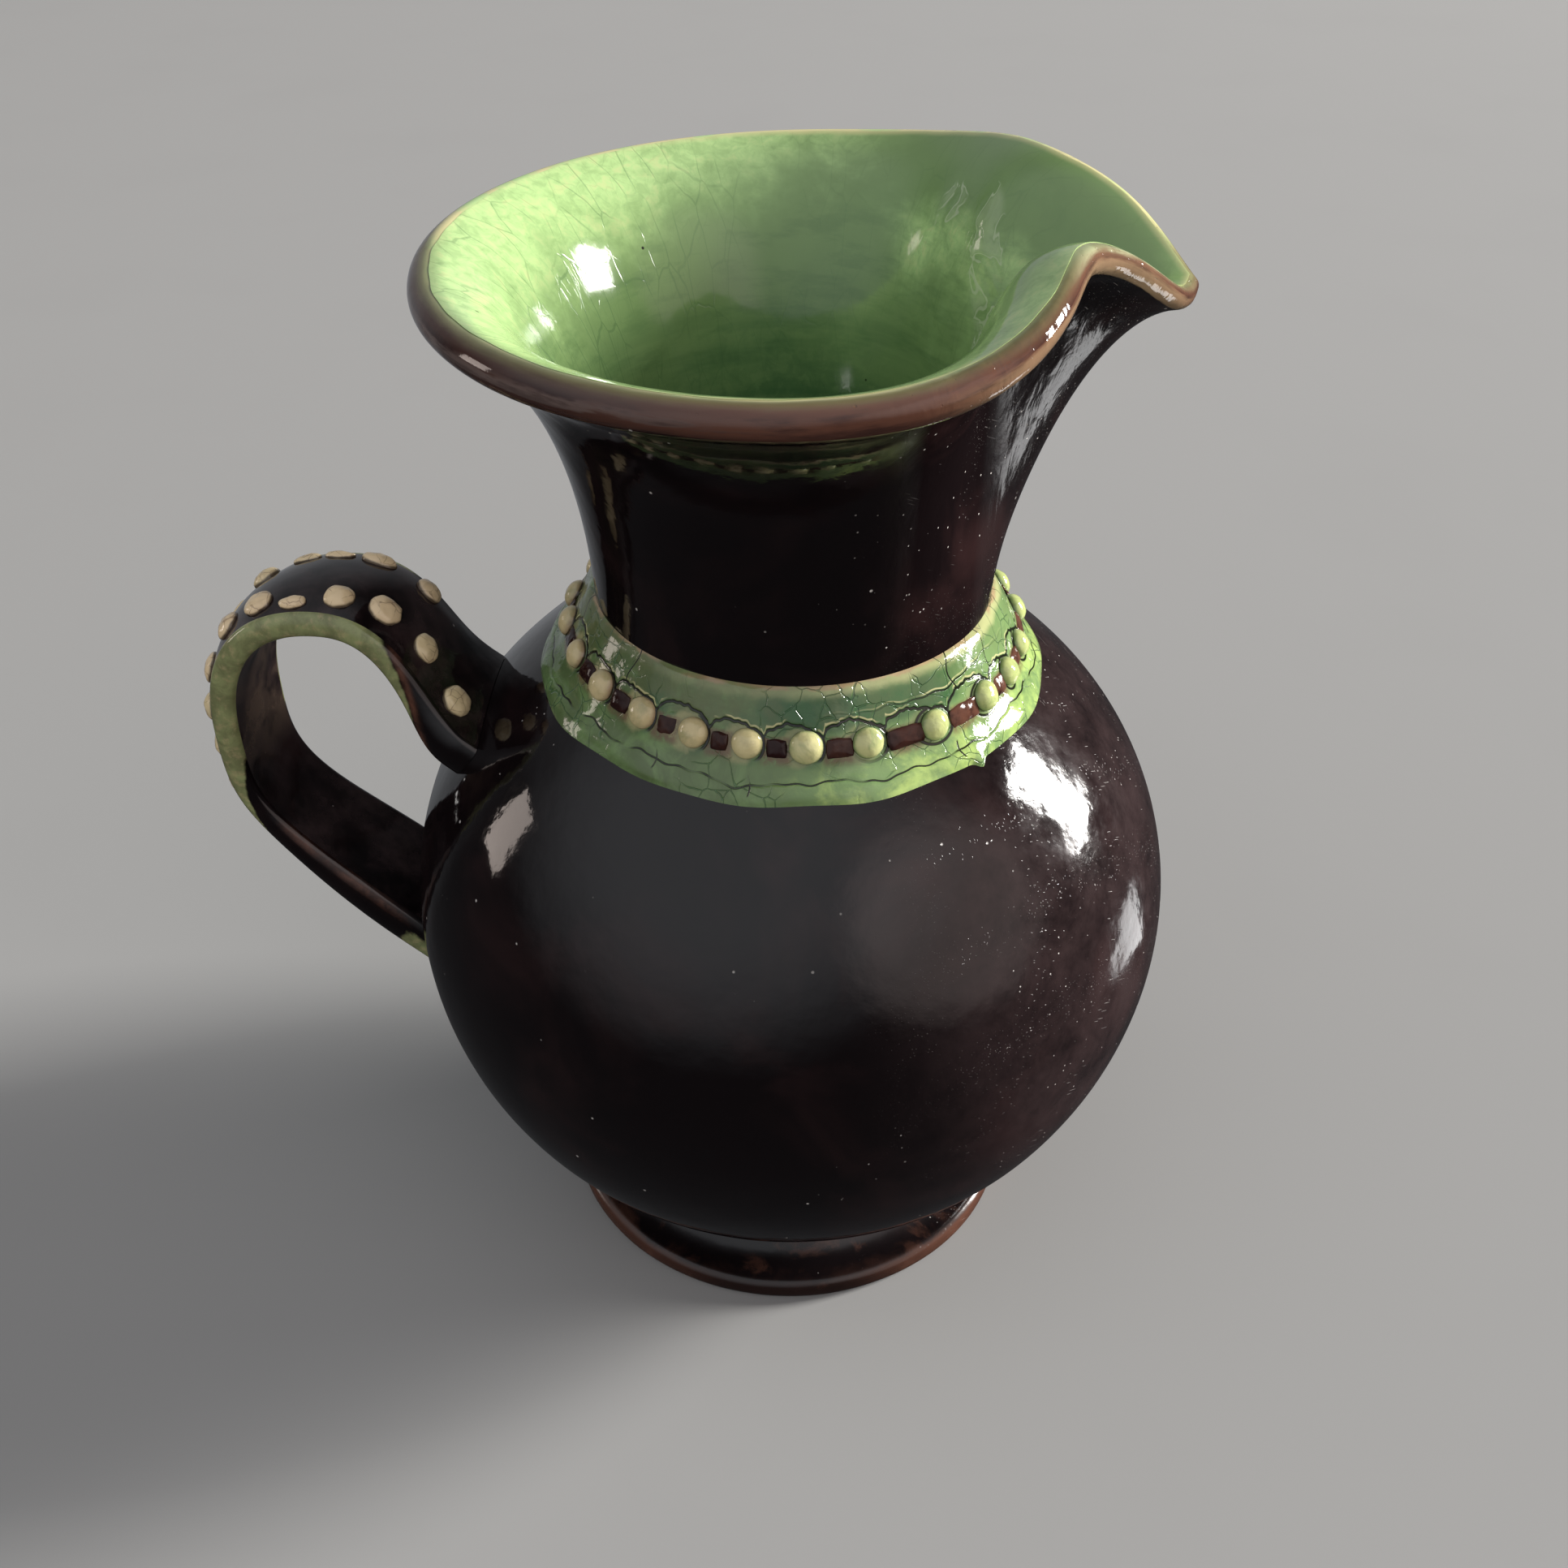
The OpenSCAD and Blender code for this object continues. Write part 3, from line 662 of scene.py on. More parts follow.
class Finish:
    """A material: layers of colour and relief by the piece's own place, with sizes in millimetres."""

    def __init__(self, name, colour):
        self.material = bpy.data.materials.new(name)
        self.material.use_nodes = True
        self.tree = self.material.node_tree
        self.tree.nodes.clear()
        self.place = wired(self.tree, "ShaderNodeTexCoord").outputs["Object"]
        self.colour = colour
        self.roughness = 0.5
        self.shine = 0.5
        self.normal = None

    def field(self, name):
        """A point attribute of the piece."""
        return Mask(self.tree, wired(self.tree, "ShaderNodeAttribute", attribute_name=name).outputs["Fac"])

    def axis(self, number):
        """One coordinate of the place, in metres."""
        return Mask(self.tree, wired(self.tree, "ShaderNodeSeparateXYZ", {0: self.place}).outputs[number])

    def side(self, number, low, high):
        """Step along one coordinate."""
        return self.axis(number).step(low * MM, high * MM)

    def vector(self, kind, given):
        """One sum on vectors."""
        return wired(self.tree, "ShaderNodeVectorMath", given, operation=kind).outputs[0]

    def noise(self, size, detail=3.0, roughness=0.5, warp=0.0, stretch=None):
        """Soft spots of about a size, from 0 to 1."""
        at = self.place
        if stretch is not None:
            at = wired(self.tree, "ShaderNodeMapping", {"Vector": at, "Scale": stretch}).outputs[0]
        spots = wired(self.tree, "ShaderNodeTexNoise", {
            "Vector": at, "Scale": 1 / (size * MM), "Detail": detail,
            "Roughness": roughness, "Distortion": warp})
        return Mask(self.tree, spots.outputs["Fac"])

    def picked(self, at, scale, edge, core, amount):
        """Spots in some of the cells at a scale, fading from a core to an edge."""
        cells = wired(self.tree, "ShaderNodeTexVoronoi", {"Vector": at, "Scale": scale})
        pick = wired(self.tree, "ShaderNodeSeparateColor", {0: cells.outputs["Color"]}).outputs[0]
        dot = Mask(self.tree, cells.outputs["Distance"]).step(edge, core)
        return dot * Mask(self.tree, pick).step(1 - amount, 1.001 - amount)

    def specks(self, size, girth, amount):
        """Round specks of a girth in an amount of the cells of a size."""
        return self.picked(self.place, 1 / (size * MM), girth / size, 0.5 * girth / size, amount)

    def scratches(self, length, girth, amount, turn):
        """Straight fine scratches of a length and a girth that lie along one direction."""
        scale = (2.5 * length * MM, 2.5 * girth * MM, 2.5 * girth * MM)
        at = wired(self.tree, "ShaderNodeMapping", {
            "Vector": self.place, "Rotation": turn, "Scale": scale}, vector_type="TEXTURE").outputs[0]
        return self.picked(at, 1.0, 0.2, 0.08, amount)

    def streaks(self, value, lanes, size):
        """Streaks of about a size that run round the axis, with some lanes to one unit of a value."""
        x, y = (self.axis(number).sum("DIVIDE", size * MM) for number in (X, Y))
        at = wired(self.tree, "ShaderNodeCombineXYZ", {0: x, 1: y, 2: value * lanes}).outputs[0]
        spots = wired(self.tree, "ShaderNodeTexNoise", {
            "Vector": at, "Scale": 1.0, "Detail": 4.0, "Roughness": 0.6})
        return Mask(self.tree, spots.outputs["Fac"])

    def fanned(self, value, radius, drop):
        """Place on a drum of a radius: the way round the axis, and a value that falls by a drop."""
        flat = self.vector("MULTIPLY", {0: self.place, 1: (1.0, 1.0, 0.0)})
        way = self.vector("NORMALIZE", {0: flat})
        drum = self.vector("SCALE", {0: way, "Scale": radius * MM})
        fall = wired(self.tree, "ShaderNodeCombineXYZ", {2: value * (drop * MM)}).outputs[0]
        return self.vector("ADD", {0: drum, 1: fall})

    def crackle(self, size, width, warp, at=None):
        """Fine net of cracks: cells of a size, with lines of a width."""
        start = self.place if at is None else at
        bent = wired(self.tree, "ShaderNodeTexNoise", {
            "Vector": start, "Scale": 1.3 / (size * MM), "Detail": 2.0})
        swing = self.vector("SCALE", {0: bent.outputs["Color"], "Scale": warp * size * MM})
        cells = wired(self.tree, "ShaderNodeTexVoronoi", {
            "Vector": self.vector("ADD", {0: start, 1: swing}), "Scale": 1 / (size * MM)},
            feature="DISTANCE_TO_EDGE")
        return Mask(self.tree, cells.outputs["Distance"]).step(width / size, 0.3 * width / size)

    def line(self, name, half):
        """Thin line where a field, a signed distance in millimetres, passes through zero."""
        return abs(self.field(name)).step(half, 0.4 * half)

    def blend(self, amount, a, b):
        """Colour between a and b."""
        a, b = (c if isinstance(c, NodeSocket) else opaque(c) for c in (a, b))
        return wired(self.tree, "ShaderNodeMix", {0: amount, 6: a, 7: b}, data_type="RGBA").outputs[2]

    def paint(self, mask, colour):
        """Lays a colour over the layers below, where a mask shows."""
        self.colour = self.blend(mask, self.colour, colour)

    def emboss(self, height, depth):
        """Adds relief of a depth to the relief below."""
        given = {"Height": height, "Distance": depth * MM}
        if self.normal is not None:
            given["Normal"] = self.normal
        self.normal = wired(self.tree, "ShaderNodeBump", given).outputs[0]

    def glossy(self, ior=GLAZE_IOR):
        """Ends the material in one glossy shader."""
        shader = wired(self.tree, "ShaderNodeBsdfPrincipled", {
            "Base Color": self.colour, "Roughness": self.roughness, "Normal": self.normal,
            "IOR": ior, "Specular IOR Level": self.shine})
        wired(self.tree, "ShaderNodeOutputMaterial", {"Surface": shader.outputs[0]})
        return self.material


def dark_coat(name, glaze, veil_and_sheen_share):
    """Material of the dark glaze, hazed by dust to a share towards the spout; on that side, which faces the
    window light, the haze and the thin brown glaze are also painted sheen.
    """
    coat = Finish(name, glaze.dark)
    right = coat.side(X, 4, 32)
    thin = coat.noise(16, 4.0, 0.55, 0.6).step(0.46, 0.74)
    # Thin brown glaze, stronger on the window side as painted sheen
    coat.paint(thin * right.spread(0.55, 1.0), glaze.brown)
    cloud = coat.noise(7, 8.0, 0.72, 0.2)
    # Dust haze on the window side only, also painted sheen of the window light
    veil_and_sheen = cloud.step(0.2, 0.75) * right
    coat.paint(veil_and_sheen * veil_and_sheen_share, glaze.veil_and_sheen)
    patch = (coat.noise(13, 2.0) + right.spread(-0.12, 0.06)).step(0.5, 0.62)
    grit = coat.specks(2.4, 0.2, 0.2) * coat.noise(20).step(0.42, 0.58)
    dust = coat.specks(0.8, 0.11, 0.34) * patch | grit
    coat.paint(dust, glaze.dust)
    marks = coat.scratches(4.5, 0.11, 0.24, (0.3, 0.5, 0.9))
    marks = marks | coat.scratches(3.2, 0.1, 0.24, (1.1, -0.4, 2.3))
    marks = marks * right * cloud.step(0.36, 0.6)
    coat.paint(marks * 0.42, glaze.dust)
    coat.roughness = cloud.spread(0.03, 0.1) + dust * 0.4 + veil_and_sheen * (0.12 * veil_and_sheen_share)
    coat.emboss(coat.noise(5, 5.0, 0.42) * right.spread(0.9, 1.6), 0.12)
    coat.emboss(~(dust | marks), 0.04)
    return coat


def body_glaze(glaze):
    """Dark glaze of the round body."""
    return dark_coat("body_dark_glaze", glaze, 0.8).glossy(DARK_IOR)


def neck_glaze(glaze):
    """Dark glaze of the neck, thin and rusty over the rolled lip and worn at the spout."""
    coat = dark_coat("neck_dark_glaze", glaze, 0.08)
    grains = coat.specks(1.1, 0.12, 0.45) * coat.side(X, 3, 9) * coat.noise(10).step(0.4, 0.5)
    coat.paint(grains, glaze.dust)
    even_roll = coat.field("roll")
    from_spout = coat.field("from_spout")
    patch = coat.noise(6, 4.0, 0.6, 0.4)
    streak = coat.streaks(even_roll, 4.0, 9)
    roll = even_roll + streak.spread(-0.22, 0.22)
    tip = from_spout.step(0.075, 0.03)
    near = from_spout.step(0.26, 0.15) * tip.spread(1.0, 0.15)
    beside = from_spout.step(0.42, 0.3) * coat.side(Y, 2, -4)
    left = coat.side(X, 4, -22)
    far = coat.side(Y, -6, 14)

    # Thin glaze on the roll
    on_lip = roll.step(0.06, 0.34)
    coat.paint(on_lip, mixed(0.05, glaze.rust, glaze.brown))
    coat.paint(on_lip * left * 0.7, glaze.brown)
    rubbed = roll.step(0.3, 0.4) * roll.step(0.56, 0.44) * left * streak.step(0.42, 0.58).spread(0.1, 0.9)
    coat.paint(rubbed, mixed(0.3, glaze.rust, glaze.dust))
    shade = streak.step(0.42, 0.64) * even_roll.step(0.85, 0.5)
    coat.paint(on_lip * shade * 0.7, glaze.brown)

    # Wear and bare clay
    bare = (roll.step(0.55, 1.05) + near * 0.25) * on_lip * patch.spread(0.2, 0.75)
    coat.paint(bare, glaze.clay)
    flanks = roll.step(0.58, 0.78) | roll.step(0.34, 0.16)
    worn = near * roll.step(0.02, 0.12) * flanks * patch.step(0.4, 0.55).spread(0.35, 0.85)
    pale = coat.blend(patch, mixed(0.35, glaze.leaf, glaze.dust), mixed(0.3, glaze.cream, glaze.dust))
    coat.paint(worn, coat.blend(roll.step(0.3, 0.6), glaze.tan, pale))
    gold = roll.step(0.02, 0.1) * roll.step(0.56, 0.42) * beside * patch.spread(0.4, 1.0)
    coat.paint(gold * 0.8, mixed(0.3, glaze.clay, glaze.rust))

    # Edge where the inside glaze begins
    edge = even_roll + streak.spread(-0.08, 0.08)
    coat.paint(edge.step(0.62, 0.92) * 0.6, mixed(0.45, glaze.moss, glaze.brown))
    shy = left * coat.side(Y, 8, -4) | beside
    edge = (edge + far.spread(0.0, 0.2)).step(0.84, 0.98) * shy.spread(1.0, 0.25) * tip.spread(1.0, 0.2)
    coat.paint(edge, coat.blend(patch.step(0.45, 0.65), glaze.cream, glaze.leaf))

    # Ripples, and dust that dulls the front right
    coat.emboss(coat.noise(2.2, 3.0, 0.5, 0.4, (1.0, 1.0, 0.35)) * coat.side(X, 4, 14), 0.14)
    dull = coat.side(X, 5, 11) * roll.step(0.2, 0.04)
    dusty = dull * coat.side(X, 20.5, 17)
    coat.roughness = coat.roughness + dull * 0.08 + dusty * 0.2
    coat.shine = dusty.spread(0.5, 0.0)
    return coat.glossy(DARK_IOR)


def foot_glaze(glaze):
    """Dark glaze of the foot, thin over red clay on the rim."""
    coat = dark_coat("foot_dark_glaze", glaze, 0.0)
    patch = coat.noise(6, 5.0, 0.6, 0.5)
    flank = abs(coat.axis(X)).step(5 * MM, 22 * MM)
    height = coat.axis(Z) + patch.spread(-0.9 * MM, 0.9 * MM)
    low = height.step(3.1 * MM, 2.5 * MM) * flank.spread(0.15, 0.95)
    coat.paint(low * patch.spread(0.35, 1.0), glaze.rust)
    waist = patch.step(0.55, 0.68) * coat.side(Z, 9, 6)
    coat.paint(waist * 0.25, glaze.rust)
    coat.roughness = coat.roughness + 0.16
    return coat.glossy(DARK_IOR)


def lining_glaze(glaze):
    """Green crackle glaze of the inside, pale near the lip and deep in the throat."""
    coat = Finish("lining_green_glaze", glaze.leaf)
    under = coat.field("depth")
    cloud = coat.noise(8, 5.0, 0.6, 0.8)
    streak = coat.noise(5, 4.0, 0.6, 0.3, (1.0, 1.0, 0.45))
    # Band on the right wall, painted lighter as a reflection of the front wall
    band = coat.side(X, 4, 15) * under.step(5.0, 13.0)
    # Far wall under the spout, painted darker as shade
    spout = coat.side(X, 2, 20) * coat.side(Y, -4, 8)

    # Thickness of the glaze, by depth under the lip; deeper towards the right and on the far wall under the
    # spout as painted shade, and shallower in a band on the right wall as a painted reflection of the front
    # wall
    depth = under + cloud.spread(-8.0, 8.0) + streak.spread(-4.0, 4.0)
    # Painted shade: darker towards the right
    depth = depth + coat.side(X, -26, 4).spread(-0.5, 8.0)
    depth = depth + band.spread(0.0, -23.0) + spout.spread(0.0, 11.0)
    coat.paint(depth.step(2.0, 18.0), glaze.moss)
    coat.paint(depth.step(18.0, 48.0), glaze.emerald)
    # Painted light: the floor of the hollow, deep in shade, is painted a lighter green
    bottom = under.step(62.0, 86.0)
    coat.paint(bottom, mixed(0.4, glaze.moss, glaze.leaf))
    spots = coat.noise(1.5, 5.0, 0.62, 0.5)
    coat.paint(spots.step(0.44, 0.66) * 0.34, glaze.moss)
    coat.paint(spots.step(0.5, 0.34) * depth.step(14.0, 4.0) * 0.35, glaze.cream)
    brushed = coat.noise(1.6, 4.0, 0.6, 0.0, (0.25, 0.25, 1.0)).step(0.46, 0.66)
    coat.paint(brushed * under.step(5.0, 12.0) * 0.22, glaze.emerald)
    ring = coat.noise(2.4, 3.0, 0.5, 0.0, (0.1, 0.1, 1.0)).step(0.48, 0.62)
    coat.paint(ring * under.step(14.0, 24.0) * 0.3, glaze.emerald)

    # Cracks and iron spots
    down = coat.fanned(under, 30, 0.42)
    broken = coat.noise(7, 2.0).step(0.36, 0.56) * coat.side(X, -2, -20).spread(0.3, 1.0)
    hair = coat.crackle(1.5, 0.05, 0.3, down) * broken * 0.3
    cracks = coat.crackle(2.9, 0.085, 0.3, down) * broken | hair
    coat.paint(cracks * 0.32, glaze.emerald)
    coat.paint(coat.specks(3.8, 0.22, 0.2), glaze.crack)

    # Pale line at the lip
    left = coat.side(X, -4, -20)
    pinched = coat.side(X, 10, 18) * coat.side(Y, 2, -4)
    edge = under.step(0.9, 0.0) * (left | pinched).spread(1.0, 0.25)
    coat.paint(edge * cloud.spread(0.2, 1.0), glaze.cream)
    dim = under.step(1.9, 0.1) * left * coat.side(Y, 8, -4)
    coat.paint(dim * 0.7, mixed(0.3, glaze.moss, glaze.brown))

    # Run of thick glaze behind the spout, its middle a paler milky glaze and its rims painted pale as
    # reflections in its ripples
    ran = coat.field("drip")
    curl = coat.noise(3.4, 2.0, 0.5, 1.0, (1.0, 1.0, 0.6))
    reflection_brim = abs(curl - 0.5).step(0.022, 0.006) * ran.step(0.2, 0.45)
    thick = curl.step(0.5, 0.55) * ran.step(0.2, 0.6)
    milky_reflection = mixed(0.4, glaze.dust, glaze.leaf)
    coat.paint(thick * 0.3, milky_reflection)
    coat.paint(reflection_brim * 0.6, milky_reflection)

    coat.emboss(coat.noise(6, 3.0, 0.4), 0.07)
    coat.emboss(~cracks, 0.01)
    coat.emboss(curl * ran, 0.3)
    coat.roughness = cloud.spread(0.05, 0.13)
    coat.shine = bottom.spread(0.5, 0.08)
    return coat.glossy()


def collar_glaze(glaze):
    """Green glaze of the collar with bold stained cracks round the pearls."""
    coat = Finish("collar_green_glaze", glaze.moss)
    cloud = coat.noise(5, 5.0, 0.62, 0.8)
    fine = coat.noise(0.9, 4.0, 0.65, 0.3)
    rise = coat.field("rise")
    row = coat.field("row_rise")
    right = coat.side(X, -24, 22)

    # Thin and thick glaze in mottles, lighter on the lower face; lighter towards the right as painted light
    # from the window, and duller on the left as painted shade
    light = cloud.spread(-1.3, 0.95) + right.spread(-0.42, 0.38)
    light = light + rise.step(2.6, -3.4).spread(-0.35, 0.18) + fine.spread(-0.42, 0.42)
    coat.paint(light.step(0.0, 0.75), glaze.lime)
    # Painted shade: duller, browner patches on the left, away from the window
    dull = right.step(0.8, 0.25) * cloud.step(0.25, 0.6)
    coat.paint(dull * 0.85, mixed(0.58, glaze.moss, glaze.brown))
    front = coat.side(Y, -8, -20) * coat.side(X, -9, 2)
    deep = coat.noise(11, 4.0) + front.spread(-0.08, 0.1)
    pool = rise.step(1.2, 2.6) * rise.step(6.6, 4.6) * deep.step(0.42, 0.6)
    coat.paint(pool * 0.9, glaze.emerald)
    earth = coat.noise(3.2, 5.0, 0.65).step(0.34, 0.6) * rise.step(1.6, 3.0) * right.spread(0.8, 0.25)
    coat.paint(earth, mixed(0.4, mixed(0.5, glaze.moss, glaze.emerald), glaze.rust))

    # Stains round the pearls and along the upper edge
    coat.paint(coat.field("to_pearl").step(2.4, 1.6) * 0.4, glaze.emerald)
    halo = (coat.field("halo") + fine.spread(-0.5, 0.5)).step(2.3, 1.5) * right.spread(0.9, 0.2)
    coat.paint(halo, mixed(0.5, glaze.tan, glaze.moss))
    stain = coat.field("between") * row.step(-2.1, -1.2) * row.step(1.2, 0.7) * fine.step(0.28, 0.55)
    coat.paint(stain * 0.75, glaze.rust)
    top = coat.field("to_top") + cloud.spread(-0.9, 0.9)
    coat.paint(top.step(1.6, 0.6) * right * 0.5, glaze.cream)
    bare = coat.noise(5)
    rim = top.step(0.55, 0.15) * bare.step(0.4, 0.55)
    coat.paint(rim * 0.85, coat.blend(bare, glaze.rust, glaze.tan))

    # Cracks
    scallop = coat.field("scallop")
    upper_show = coat.field("upper_show")
    spur = coat.line("spur", 0.1) * scallop.step(-0.1, 0.1) * coat.field("spur_show")
    hook = coat.line("hook", 0.2) * scallop.step(0.1, -0.1) * coat.field("hook_show")
    low_spur = coat.line("low_spur", 0.1) * abs(coat.field("low_line")).step(1.1, 0.8)
    low_spur = low_spur * coat.noise(4, 1.0).step(0.46, 0.54)
    low_line = coat.line("low_line", 0.12) * coat.noise(5, 2.0).step(0.38, 0.52)
    upper = coat.line("upper", 0.11) * upper_show
    bold = coat.line("scallop", 0.2) | low_line | hook | spur | low_spur | upper
    net = coat.crackle(2.4, 0.07, 0.35) * coat.noise(6, 2.0).step(0.44, 0.58)
    # Painted highlights along the rims of the bold cracks
    pale = coat.line("scallop_highlight", 0.12) | coat.line("upper_highlight", 0.1) * upper_show
    coat.paint(pale * coat.noise(3, 2.0).step(0.44, 0.56) * 0.7, glaze.cream)
    coat.paint(net * 0.55, glaze.emerald)
    coat.paint(bold * 0.97, glaze.crack)

    coat.emboss(coat.noise(2.5, 4.0, 0.5), 0.1)
    coat.emboss(~(bold | net), 0.06)
    coat.roughness = cloud.spread(0.05, 0.13)
    return coat.glossy()


def pearl_slip(glaze):
    """Cream slip pearls under green glaze, tanned towards the handle."""
    coat = Finish("pearl_cream_slip", glaze.cream)
    cloud = coat.noise(2.6, 4.0, 0.6, 0.4)
    rise = coat.field("rise")
    left = coat.side(X, 6, -14)
    coat.paint(left * 0.6, glaze.tan)
    coat.paint(coat.side(X, -6, 22).spread(0.0, 0.6), glaze.lime)
    clouded = coat.blend(left, glaze.moss, mixed(0.5, glaze.clay, glaze.moss))
    coat.paint(cloud.step(0.46, 0.7) * 0.65, clouded)
    # Lower part of each pearl darker: glaze pooled round its foot, and painted shade under its dome
    foot = (rise + cloud.spread(-0.35, 0.35)).step(0.55, 0.05)
    coat.paint(foot * 0.85, coat.blend(left, glaze.moss, mixed(0.55, glaze.tan, glaze.rust)))
    shade = coat.noise(1.1, 4.0, 0.6).step(0.5, 0.72) * foot.spread(0.35, 1.0)
    coat.paint(shade * 0.5, mixed(0.4, glaze.rust, glaze.moss))
    coat.paint(rise.step(0.16, 0.02) * 0.85, glaze.crack)
    coat.emboss(cloud, 0.16)
    coat.roughness = cloud.spread(0.04, 0.1)
    return coat.glossy()


def dash_slip(glaze):
    """Dark slip dashes, redder in places."""
    coat = Finish("dash_dark_slip", glaze.dash)
    cloud = coat.noise(1.8, 4.0, 0.6)
    red = cloud.spread(-0.25, 0.6) + coat.field("tone").spread(-0.15, 0.3)
    coat.paint(red.step(0.2, 0.8), mixed(0.45, glaze.dash, glaze.rust))
    coat.paint(coat.side(X, 8, 17) * cloud.step(0.3, 0.55) * 0.75, glaze.rust)
    coat.emboss(cloud, 0.05)
    coat.roughness = cloud.spread(0.06, 0.16)
    return coat.glossy(DASH_IOR)


def strap_glaze(glaze):
    """Dark glaze of the handle, hazy inside the bow, with a green run on its tail."""
    coat = dark_coat("handle_dark_glaze", glaze, 0.0)
    along = coat.field("run")
    outer = coat.field("outer")
    coat.paint(coat.noise(9, 6.0, 0.65).step(0.4, 0.7), glaze.veil_and_sheen)
    bow = along.step(1.3, 1.65) * along.step(2.35, 2.0) * outer.step(0.6, 0.4)
    coat.paint(bow * coat.noise(5, 5.0, 0.6).step(0.36, 0.6) * 0.8, mixed(0.12, glaze.veil_and_sheen, glaze.clay))
    cloud = coat.noise(3, 4.0, 0.6)
    tail = (along + cloud.spread(-0.08, 0.08)).step(2.84, 2.94) * outer.step(0.4, 0.6)
    coat.paint(tail, coat.blend(cloud, glaze.emerald, glaze.moss))
    return coat.glossy(DARK_IOR)


def edge_glaze(glaze):
    """Trailed green glaze of the strap's edges, with bare dark glaze and a red ridge at the roots."""
    coat = dark_coat("edge_green_glaze", glaze, 0.0)
    cloud = coat.noise(2.6, 5.0, 0.6, 0.5)
    fine = coat.noise(0.8, 3.0, 0.6)
    cover = coat.field("cover") + cloud.spread(-0.3, 0.3)
    olive = mixed(0.28, glaze.moss, glaze.tan)
    green = coat.blend(cloud.step(0.36, 0.7), mixed(0.45, olive, glaze.brown), olive)
    green = coat.blend(fine.step(0.48, 0.72) * 0.3, green, glaze.tan)
    ridge = coat.field("ridge") * cloud.step(0.35, 0.6).spread(0.3, 1.0)
    coat.paint(ridge * 0.85, glaze.rust)
    coat.paint(cover.step(-0.08, 0.14), green)
    return coat.glossy(DARK_IOR)


def dot_slip(glaze):
    """Tan and cream slip dots with a darker foot."""
    coat = Finish("dot_tan_slip", glaze.dot)
    cloud = coat.noise(2.4, 5.0, 0.6, 0.4)
    coat.paint(coat.field("tone").step(0.3, 0.9), mixed(0.3, glaze.dot, glaze.cream))
    coat.paint(cloud.step(0.48, 0.72) * 0.6, glaze.clay)
    coat.paint(coat.crackle(1.5, 0.06, 0.4) * cloud.step(0.4, 0.55) * 0.5, glaze.rust)
    foot = (coat.field("rise") + cloud.spread(-0.22, 0.22)).step(0.36, 0.06)
    coat.paint(foot * 0.85, glaze.brown)
    coat.emboss(cloud, 0.06)
    coat.roughness = cloud.spread(0.06, 0.16)
    return coat.glossy()


# Body and foot
BODY_TURN = 288
BODY_STEPS = 72
HOLLOW_STEPS = 24

# Where the body's dents fade out: over the foot, and between two depths under the neck's seat
FOOT_FADE = 6 * MM
SEAT_FADE = (2 * MM, 8 * MM)


class JUG_OT_body(Operator):
    """Builds the round body and the green glaze inside it"""
    bl_idname = "jug.body"
    bl_label = "Body"

    def execute(self, context):
        jug = context.scene.jug
        levels = Levels(jug)
        angles = round_angles(BODY_TURN)
        outside = levels.outside(BODY_STEPS)
        inside = levels.inside(0, HOLLOW_STEPS)
        outline = np.concatenate([[[0, jug.foot.height]], outside, inside[::-1]])
        z = outside[:, 1]
        worked = smooth(z, z[0], z[0] + FOOT_FADE) * smooth(z[-1] - z, *SEAT_FADE)
        worked = np.concatenate([[0], worked, np.zeros(len(inside))])
        mesh = lofted("body", turned(outline, angles), True, {"worked": worked})
        close_poles(mesh)
        glaze = body_glaze(jug.glaze)
        hand_worked("body", mesh, glaze, jug.globe.dent, jug.globe.dent_size, seed=3.0)
        skin = levels.inside(jug.globe.lining, HOLLOW_STEPS)
        outline = np.concatenate([inside, skin[::-1]])
        depth = (levels.rim - outline[:, 1]) / MM
        mesh = lofted("body_lining", turned(outline, angles), True, {"depth": depth})
        close_poles(mesh)
        settle("body_lining", mesh, lining_glaze(jug.glaze))
        return {"FINISHED"}


FOOT_TURN = 192
FOOT_STEPS = 14


class JUG_OT_foot(Operator):
    """Builds the turned foot"""
    bl_idname = "jug.foot"
    bl_label = "Foot"

    def execute(self, context):
        jug = context.scene.jug
        foot = jug.foot
        rounding = foot.rounding
        rim = foot.radius - rounding
        ceiling = foot.recess_depth
        quarter = math.pi / 2
        low = arc(rounding, rounding, rounding, -quarter, 0, FOOT_STEPS) + [rim, 0]
        high = arc(rounding, rounding, foot.rim - rounding, 0, quarter, FOOT_STEPS) + [rim, 0]
        waist = arc(foot.waist - rim, foot.rim - foot.height, foot.height, quarter, 0, FOOT_STEPS)
        outline = np.concatenate([
            [[0, ceiling], [foot.recess - foot.recess_slope, ceiling], [foot.recess, 0]],
            low, high[1:], waist[1:] + [rim, 0], [[0, foot.height]]])
        # The recess and the seat have no dents
        worked = np.zeros(len(outline))
        worked[4:-3] = 1
        mesh = lofted("foot", turned(outline, round_angles(FOOT_TURN)), True, {"worked": worked})
        close_poles(mesh)
        glaze = foot_glaze(jug.glaze)
        hand_worked("foot", mesh, glaze, jug.globe.dent, jug.globe.dent_size / 2, seed=8.0)
        return {"FINISHED"}


# Neck
NECK_TURN = 320
WALL_STEPS = 40
LIP_STEPS = 18
CREEP_STEPS = 10

# The roll field runs from 0 to 1 over the lip, on by this much along each wall, and to this at the seat
WALL_ROLL = 6
SEAT_ROLL = 9

# Inside glaze: its share of thickness at the lip, the depth where it is full, and how uneven its edge is
THIN_SHARE = 0.1
FULL_DEPTH = 6 * MM
CREEP_UNEVEN = 0.3

# Run of thick glaze behind the spout, in degrees and millimetres: angle and depth of its top, lean, branch
RUN_TURN = 36
RUN_TOP = 7
RUN_LEAN = 1.4
BRANCH_TURN = 48


def cheek(neck, front, back, q):
    """Value that passes from the front of the spout to its back."""
    return mix(front, back, (1 + np.sin(np.clip(q / neck.cheek, -1, 1) * math.pi / 2)) / 2)


